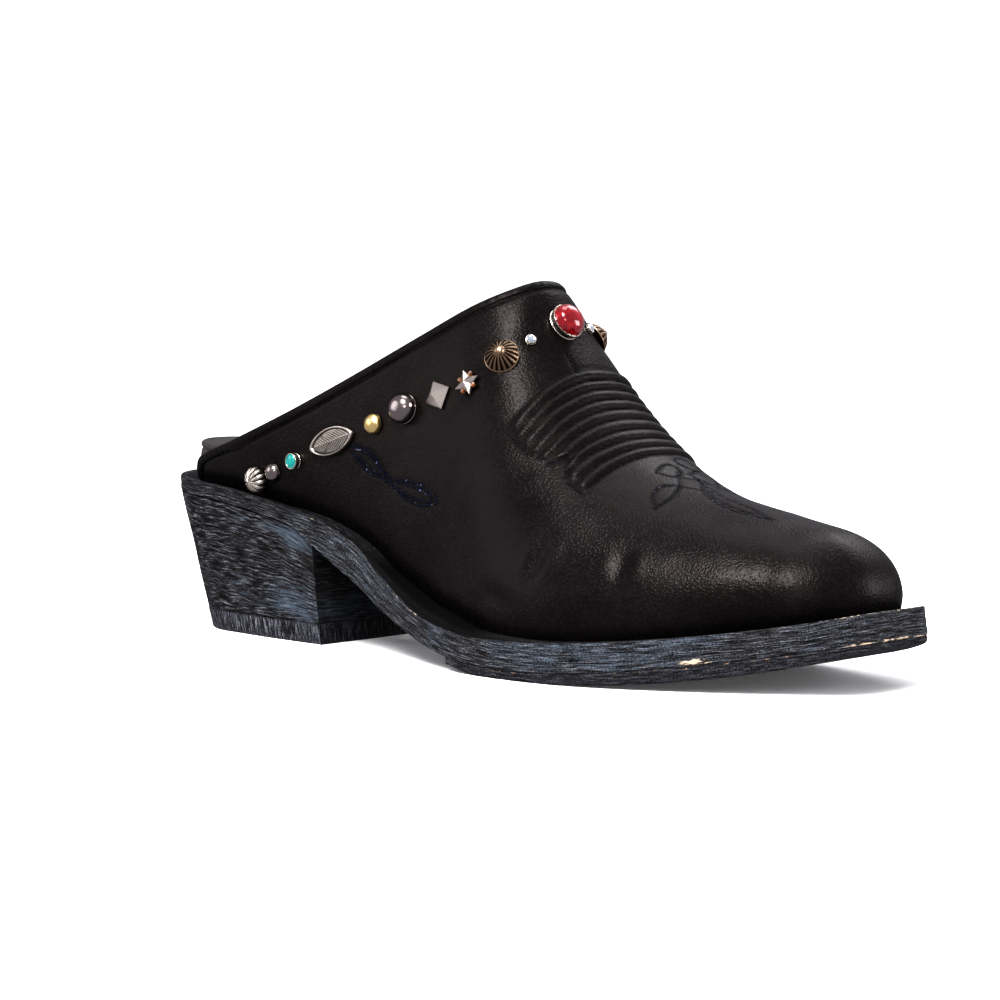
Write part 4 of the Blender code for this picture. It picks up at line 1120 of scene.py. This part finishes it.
def makeHalfSole():
    xs = stations(halfSoleSizes["start"], shoe["soleLength"], halfSoleSizes["stations"], roundStart=False)
    along = aroundEdge(xs, soleHalf)

    def span(x):  # heights of the tread's foot and top
        return np.maximum(smooth(soleRows, 5, x), 0.0), soleUnderside(x) - halfSoleSizes["under"]

    foot, top = span(np.concatenate([xs, xs[::-1]]))
    layers = []
    for share in (0.0, 0.03, 0.08, 0.15, 0.25, 0.35, 0.45, 0.55, 0.65, 0.75, 0.85, 0.93, 0.97, 1.0):
        inset = halfSoleSizes["inset"] + rounding((top - foot) * share, halfSoleSizes["round"])
        inset = inset + rounding((top - foot) * (1 - share), halfSoleSizes["topRound"])
        flat = outline(xs, soleHalf, inset + halfSoleSizes["handwork"] * wobble(along[:-1], 9 * share))
        low, high = span(flat[:, 0])
        layers.append((np.column_stack([flat, low * (1 - share) + high * share]), (top - foot) * (1 - share),
                       0.0, 0.42 * bell(share, 0.9, 0.12) + 0.2 * bell(share, 0.0, 0.1), 0.0))
    layered("halfSoleTread", "half_sole", treadRubber, along, layers)


def heelPoint(plan, height):
    fall = 1 - height / soleUnderside(0.0)
    along = plan[:, 0] / heelSizes["breast"]
    lean = heelSizes["backLean"] * (1 - along) + heelSizes["breastLean"] * along
    return np.column_stack([plan[:, 0] + lean * fall, plan[:, 1] * (1 - heelSizes["taper"] * fall),
                            np.broadcast_to(height, len(plan))])


def heelTop(plan):
    height = soleUnderside(plan[:, 0]) - shoe["gap"]
    for _ in range(8):
        height = soleUnderside(heelPoint(plan, height)[:, 0]) - shoe["gap"]
    return height


def makeHeel():
    xs = stations(shoe["seatStart"], heelSizes["breast"], heelSizes["stations"], roundEnd=False)
    x = np.concatenate([xs, xs[::-1]])
    along = aroundEdge(xs, soleHalf)
    top = heelTop(outline(xs, soleHalf, heelSizes["inset"]))
    forward, corner = bell(x, *heelSizes["forward"]), bell(x, heelSizes["breast"], 3.0)
    tall = heelSizes["tall"]
    layers = []
    for share in np.linspace(0, 1, heelSizes["levels"]):
        lift = share * heelSizes["lifts"] + 0.12 * np.sin(along[:-1] / 31.0)
        groove = bell(lift % 1.0, 0.5, 0.05)
        inset = heelSizes["inset"] + rounding(tall * share, 0.2) + rounding(tall * (1 - share), 0.3)
        inset = inset + heelSizes["groove"] * groove + heelSizes["handwork"] * wobble(along[:-1], 4 * share)
        height = heelSizes["topLift"] * (1 - share) + top * share
        bands = bell(share, 0.2, 0.2) + bell(share, 0.9, 0.1)
        layers.append((heelPoint(outline(xs, soleHalf, inset), height), tall * (1 - share), 0.12 * groove,
                       0.16 * bell(share, 0.0, 0.05) + 0.12 * corner,
                       0.02 + 0.18 * forward + (0.06 + 0.12 * forward) * bands))
    layered("heelStack", "heel_block", stackLeather, along, layers)

    tall = heelSizes["topLift"] - heelSizes["liftGap"]
    layers = []
    for height in (0.0, 0.12, 0.35, 0.8, 1.5, 2.2, 2.9, 3.6, 4.3, 5.0, 5.6, 6.1, 6.3, tall):
        inset = heelSizes["inset"] + rounding(height, 0.5) + rounding(tall - height, 0.12)
        inset = inset + heelSizes["liftHandwork"] * wobble(along[:-1], height)
        layers.append((heelPoint(outline(xs, soleHalf, inset), height), tall - height, 0.0,
                       0.2 * bell(height, 0.0, 0.5), 0.06 + 0.14 * forward))
    layered("topLiftRubber", "heel_top_lift", liftRubber, along, layers)


makeOutsole()
makeHalfSole()
makeHeel()
print("sole and heel made")

padSizes = {
    "back": 6.0, "front": 256.0, "side": 3.0, "round": 28.0, "stations": 200, "sink": 0.8,
    "thin": 3.2, "thick": 11.0, "fade": (50.0, 105.0), "crown": 1.1, "crownFade": (90.0, 130.0), "dent": 0.22,
    # its side and piped rim, as (share of its height, mm in from its outline)
    "profile": ((0.0, 0.9), (0.08, 0.35), (0.2, 0.05), (0.4, -0.05), (0.6, 0.0), (0.72, 0.2), (0.77, 0.55),
                (0.80, 0.62), (0.83, 0.35), (0.88, 0.1), (0.93, 0.2), (0.97, 0.6), (0.99, 1.1), (0.985, 1.6),
                (0.955, 2.0), (0.95, 2.3), (0.965, 2.9), (0.985, 4.0), (1.0, 5.4)),
}


def padHalf(x, side):
    rounded = padSizes["back"] + padSizes["round"]
    half = smooth(lastRows, 1 if side == lateral else 2, np.maximum(x, rounded))
    half = half - shoe["tuck"] - padSizes["side"]
    return half * np.sqrt(1 - np.clip((rounded - x) / padSizes["round"], 0, 1) ** 2)


def makePad():
    # a soft footbed: bulging side, a piped rim, and a crowned top
    xs = stations(padSizes["back"] + 0.25, padSizes["front"], padSizes["stations"], roundEnd=False)
    rim = outline(xs, padHalf, 0.0)
    rings = []
    for share, inset in padSizes["profile"]:
        flat = outline(xs, padHalf, inset)
        base = soleTop(flat[:, 0]) + shoe["gap"]
        tall = padSizes["thin"] + (padSizes["thick"] - padSizes["thin"]) * fade(flat[:, 0], padSizes["fade"])
        sink = padSizes["sink"] * fade(flat[:, 0], outsoleSizes["recessFade"]) * (1 - share)
        rings.append(np.column_stack([flat, base + tall * share - sink]))
    inner = rings[-1]
    closed = np.column_stack([np.concatenate([rim, rim[:1]]), np.zeros(len(rim) + 1)])
    for share in np.linspace(0.94, 0.0, 20):
        flat = np.column_stack([inner[:, 0], inner[:, 1] * share, np.zeros(len(inner))])
        away, _ = distanceTo(flat, closed)
        crown = padSizes["crown"] * (1 - np.exp(-np.maximum(away - inset, 0) / 8.0))
        dents = padSizes["dent"] * roughly(flat, 13.0, 5.5) * np.clip(away / 12, 0, 1)
        flat[:, 2] = inner[:, 2] + crown * fade(flat[:, 0], padSizes["crownFade"]) + dents
        rings.append(flat)
    pad = loft("insolePad", np.array(rings), padLeather, sharp=70.0)
    finishPiece(pad, "insole")


makePad()
print("pad made")

# studs, each modelled on the z axis in mm and then set on the collar
studSizes = {"sink": 0.35, "slope": 0.46}  # how far below its seat a stud's foot lies; the collar's slope


def studFrame(across, x, turn):
    normal = lastNormal(across, x)
    forward = np.array((1.0, 0.0, studSizes["slope"]))
    forward = unit(forward - normal * (forward @ normal))
    sideways = np.cross(normal, forward)
    angle = math.radians(turn)
    ahead = forward * math.cos(angle) + sideways * math.sin(angle)
    return lastPoint(across, x) + normal * shoe["gap"], np.array((ahead, np.cross(normal, ahead), normal))


def setStud(name, rings, groove, seat, material, node=None, sharp=35.0):
    place, axes = seat
    lowered = rings - np.array((0.0, 0.0, studSizes["sink"]))
    piece = loft(name, place + lowered @ axes, material, marks={"groove": groove}, capped=False, sharp=sharp)
    return finishPiece(piece, node)


def turnedRings(profile, spokes, steps, size, wave=None):
    # rings of a turned form from rows of (radius, height) in shares of its size; wave shapes its ribs
    rows = curveThrough(np.array(profile, float) * size, steps)
    rows[:, 0] = np.maximum(rows[:, 0], 0.0)
    rows[0, 0], rows[-1, 0] = profile[0][0] * size, profile[-1][0] * size
    angle = np.linspace(0, math.tau, spokes, endpoint=False)[None, :]
    radius, height = (np.tile(column[:, None], (1, spokes)) for column in rows.T)
    groove = np.zeros(radius.shape)
    if wave:
        radius, height, groove = wave(angle, radius, height, size)
    return np.stack([radius * np.cos(angle), radius * np.sin(angle), height], -1), groove


def ringAt(angle, radius, height):
    return np.column_stack([radius * np.cos(angle), radius * np.sin(angle), np.full(len(angle), height)])


def umbrella(angle, radius, height, size):  # eighteen thin ribs that start below the knob
    share = np.clip((radius / size - 0.30) / 0.10, 0, 1) * np.clip((height / size - 0.10) / 0.06, 0, 1)
    hollow = (1 - np.abs(np.cos(9 * angle)) ** 3) * share
    return radius, height - 0.05 * size * hollow, np.clip(0.95 * hollow, 0, 1)


def melon(angle, radius, height, size):  # twelve round lobes
    hollow = (1 - np.abs(np.cos(6 * angle)) ** 0.55) * np.clip(radius / radius.max(), 0, 1) ** 0.5
    return radius * (1 - 0.17 * hollow), height * (1 - 0.102 * hollow), np.clip(1.3 * hollow, 0, 1)


def hammered(angle, radius, height, size):
    dents = roughly(np.stack([radius * np.cos(angle), radius * np.sin(angle), height], -1), 1.3, 2.2)
    return radius * (1 + 0.02 * dents), height * (1 + 0.06 * dents), np.clip(-0.25 * dents, 0, 1)


def notched(angle, radius, height, size):  # twenty small cuts across the cup's lip
    notch = np.clip(np.cos(20 * angle) * 4 - 3, 0, 1) * np.clip((height / size - 0.3) / 0.12, 0, 1)
    notch = notch * np.clip((radius / size - 0.84) / 0.05, 0, 1)
    return radius * (1 - 0.035 * notch), height - 0.09 * size * notch, 0.8 * notch


# name's ending, material, slot, spokes, steps, wave, angle of a sharp edge, profile
turnedParts = {
    "crystal": (
        ("", silver, "silver", 32, 28, None, 35.0, (
            (0, 0), (1, 0), (1, 0), (1.02, 0.3), (0.95, 0.42), (0.86, 0.36), (0.86, 0.36), (0, 0.2))),),
    "ribbed_bronze": (
        ("", bronze, "bronze", 120, 46, umbrella, 35.0, (
            (0, 0), (0.97, 0), (1, 0.05), (1, 0.12), (0.9, 0.27), (0.72, 0.49), (0.5, 0.67), (0.34, 0.74),
            (0.3, 0.79), (0.22, 0.89), (0.1, 0.93), (0, 0.94))),),
    "gunmetal_ball": (
        ("", gunmetal, "gunmetal", 64, 30, None, 35.0, (
            (0, 0), (0.93, 0), (0.97, 0.1), (1, 0.24), (0.93, 0.5), (0.75, 0.77), (0.42, 0.97), (0, 1.03))),),
    "gold_dome": (
        ("", brass, "brass", 48, 22, hammered, 35.0, (
            (0, 0), (0.95, 0), (1, 0.15), (0.93, 0.38), (0.7, 0.6), (0.35, 0.76), (0, 0.8))),),
    "turquoise": (
        ("", silver, "silver", 48, 30, None, 35.0, (
            (0, 0), (0.94, 0), (0.97, 0.1), (1, 0.45), (0.99, 0.68), (0.92, 0.76), (0.85, 0.7), (0.83, 0.5),
            (0, 0.45))),
        ("Stone", turquoise, "turquoise_stone", 48, 22, None, 35.0, (
            (0, 0.5), (0.8, 0.55), (0.84, 0.68), (0.7, 0.85), (0.42, 0.97), (0, 1.02)))),
    "gunmetal_dot": (
        ("", gunmetal, "gunmetal", 40, 20, None, 35.0, (
            (0, 0), (0.97, 0), (1, 0.12), (0.92, 0.36), (0.68, 0.63), (0.35, 0.8), (0, 0.85))),),
    "ribbed_silver": (
        ("", silver, "silver", 96, 34, melon, 60.0, (
            (0, 0), (0.8, 0), (0.95, 0.12), (1, 0.3), (0.97, 0.52), (0.78, 0.8), (0.42, 0.98), (0.16, 1.03),
            (0, 1.06))),),
    "red_cabochon": (
        ("", silver, "silver", 160, 40, notched, 35.0, (
            (0, 0), (0.88, 0), (0.92, 0.06), (0.95, 0.18), (0.98, 0.3), (0.99, 0.4), (0.95, 0.42),
            (0.9, 0.36), (0.86, 0.25), (0, 0.2))),
        ("Stone", redGlass, "red_stone", 64, 30, None, 35.0, (
            (0, 0.22), (0.86, 0.26), (0.92, 0.37), (0.9, 0.57), (0.74, 0.85), (0.42, 1.03), (0, 1.08)))),
}


def cutCrystal(name, node, radius, seat):
    # an eight-sided stone in the cup: rows of radius and height as shares, and turn as a share of a side
    side = math.tau / 8
    rows = ((0, 0.3, 0), (0.84, 0.3, 0.5), (0.84, 0.5, 0.5), (0.62, 0.78, 0), (0.34, 0.95, 0.5), (0, 0.95, 0))
    rings = np.array([ringAt((np.arange(8) + turn) * side, share * radius, height * radius)
                      for share, height, turn in rows])
    setStud(name + "Stone", rings, np.zeros((6, 8)), seat, crystal, sharp=8.0)


def makeStar(name, node, radius, seat):
    disc = np.array(((0, 0), (0.55, 0), (0.6, 0.3), (0.52, 0.75), (0, 0.85))) * (1, 1 / radius)
    rings, groove = turnedRings(disc, 40, 16, radius)
    setStud(name + "Disc", rings, groove + 0.25, seat, bronze)
    corners = np.arange(8)  # the points and the corners between them
    angle = corners * math.pi / 4
    reach = np.where(corners % 2, 0.48, 1.0) * radius
    rows = ((0.0, 0.0), (0.94, 0.0), (1.0, 0.25), (0.97, 0.75), (0.9, 0.95), (0.0, 2.3))
    groove = np.zeros((len(rows), 8))
    groove[2:5, 1::2] = 0.3
    setStud(name, np.array([ringAt(angle, reach * share, height) for share, height in rows]), groove, seat,
            silver, node, sharp=12.0)
    six = np.arange(6) * math.tau / 6
    rows = ((0.0, 0.2), (0.85, 0.2), (0.88, 0.8), (0.5, 1.2), (0.0, 1.2))
    bead = np.array([ringAt(six, share, height) for share, height in rows])
    for i in range(4):
        between = (2 * i + 1) * math.pi / 4
        centre = np.array((math.cos(between), math.sin(between), 0.0)) * radius * 0.62
        setStud(f"{name}Stone{i + 1}", bead + centre, np.zeros((5, 6)), seat, amber,
                sharp=8.0)


def makePyramid(name, node, radius, seat):
    side, ones = np.linspace(-1, 1, 9)[:-1], np.ones(8)
    square = np.concatenate([np.stack([side, -ones], -1), np.stack([ones, side], -1),
                             np.stack([-side, ones], -1), np.stack([-ones, -side], -1)])
    rows = ((0.0, 0.0), (0.97, 0.0), (1.0, 0.15), (1.0, 0.5), (0.97, 0.68), (0.8, 1.12), (0.6, 1.66),
            (0.4, 2.25), (0.22, 2.82), (0.1, 3.2), (0.05, 3.32), (0.0, 3.38))
    rings = np.array([np.column_stack([square * radius * math.sqrt(0.5) * share, np.full(32, height)])
                      for share, height in rows])
    setStud(name, rings, np.zeros(rings.shape[:2]), seat, silver, node, sharp=25.0)


plateSizes = {"width": 0.47, "field": 0.82, "veinPitch": 1.15, "veinSlant": 1.3, "stem": 0.28, "vein": 0.28,
              "crown": 0.18, "points": 96}


def makeMarquise(name, node, radius, seat):
    # a pointed oval plate with a raised rim round a dark field of leaf veins
    count, field = plateSizes["points"], plateSizes["field"]
    angle = np.arange(count) * math.tau / count
    across = plateSizes["width"] * radius * np.sign(np.sin(angle)) * np.abs(np.sin(angle)) ** 1.35
    flat = np.stack([radius * np.cos(angle), across], -1)
    rows = [(0.0, 0.0), (0.97, 0.0), (1.0, 0.2), (1.0, 0.95), (0.985, 1.3), (0.955, 1.55), (0.92, 1.6),
            (0.88, 1.5), (0.85, 1.2), (0.83, 1.0)] + [(share, 1.0) for share in np.linspace(0.79, 0.03, 30)]
    rings, groove = [], []
    for share, height in rows:
        ring = np.column_stack([flat * share, np.full(count, height)])
        dark = np.full(count, 0.8 if field < share < 0.87 else 0.18)
        if 0 < share < field:
            x, y = ring[:, 0], ring[:, 1]
            slanted = (x + plateSizes["veinSlant"] * np.abs(y)) / plateSizes["veinPitch"]
            veins = np.abs(np.sin(slanted * math.pi)) ** 0.7
            raised = np.maximum(veins * 0.8, bell(y, 0.0, plateSizes["stem"]))
            ring[:, 2] += plateSizes["vein"] * raised + plateSizes["crown"] * (1 - (share / field) ** 2)
            dark = 0.3 + 0.6 * (1 - raised)
        rings.append(ring)
        groove.append(dark)
    rings.append(rings[-1] * (0, 0, 1))
    setStud(name, np.array(rings), np.array(groove + groove[-1:]), seat, silver, node, sharp=40.0)


cutParts = {"crystal": cutCrystal, "star": makeStar, "pyramid": makePyramid, "marquise": makeMarquise}


def makeStud(kind, name, node, radius, seat):
    for ending, material, slot, spokes, steps, wave, sharp, profile in turnedParts.get(kind, ()):
        rings, groove = turnedRings(profile, spokes, steps, radius, wave)
        setStud(name + ending, rings, groove, seat, material, None if ending else node, sharp)
    if kind in cutParts:
        cutParts[kind](name, node, radius, seat)


def makeStuds():
    for side, word in ((lateral, "lateral"), (medial, "medial")):
        for kind, x, _, _, diameter, turn in studRows:
            seat = studFrame(studPlaces[kind, side], x, -side * turn)
            name = word + "".join(part.capitalize() for part in kind.split("_"))
            makeStud(kind, name, f"stud_{word}_{kind}", diameter / 2, seat)
    seat = studFrame(redPlace["across"], redPlace["x"], 0.0)
    makeStud("red_cabochon", "redCabochon", "stud_red_cabochon", redPlace["diameter"] / 2, seat)


makeStuds()
print("studs made")
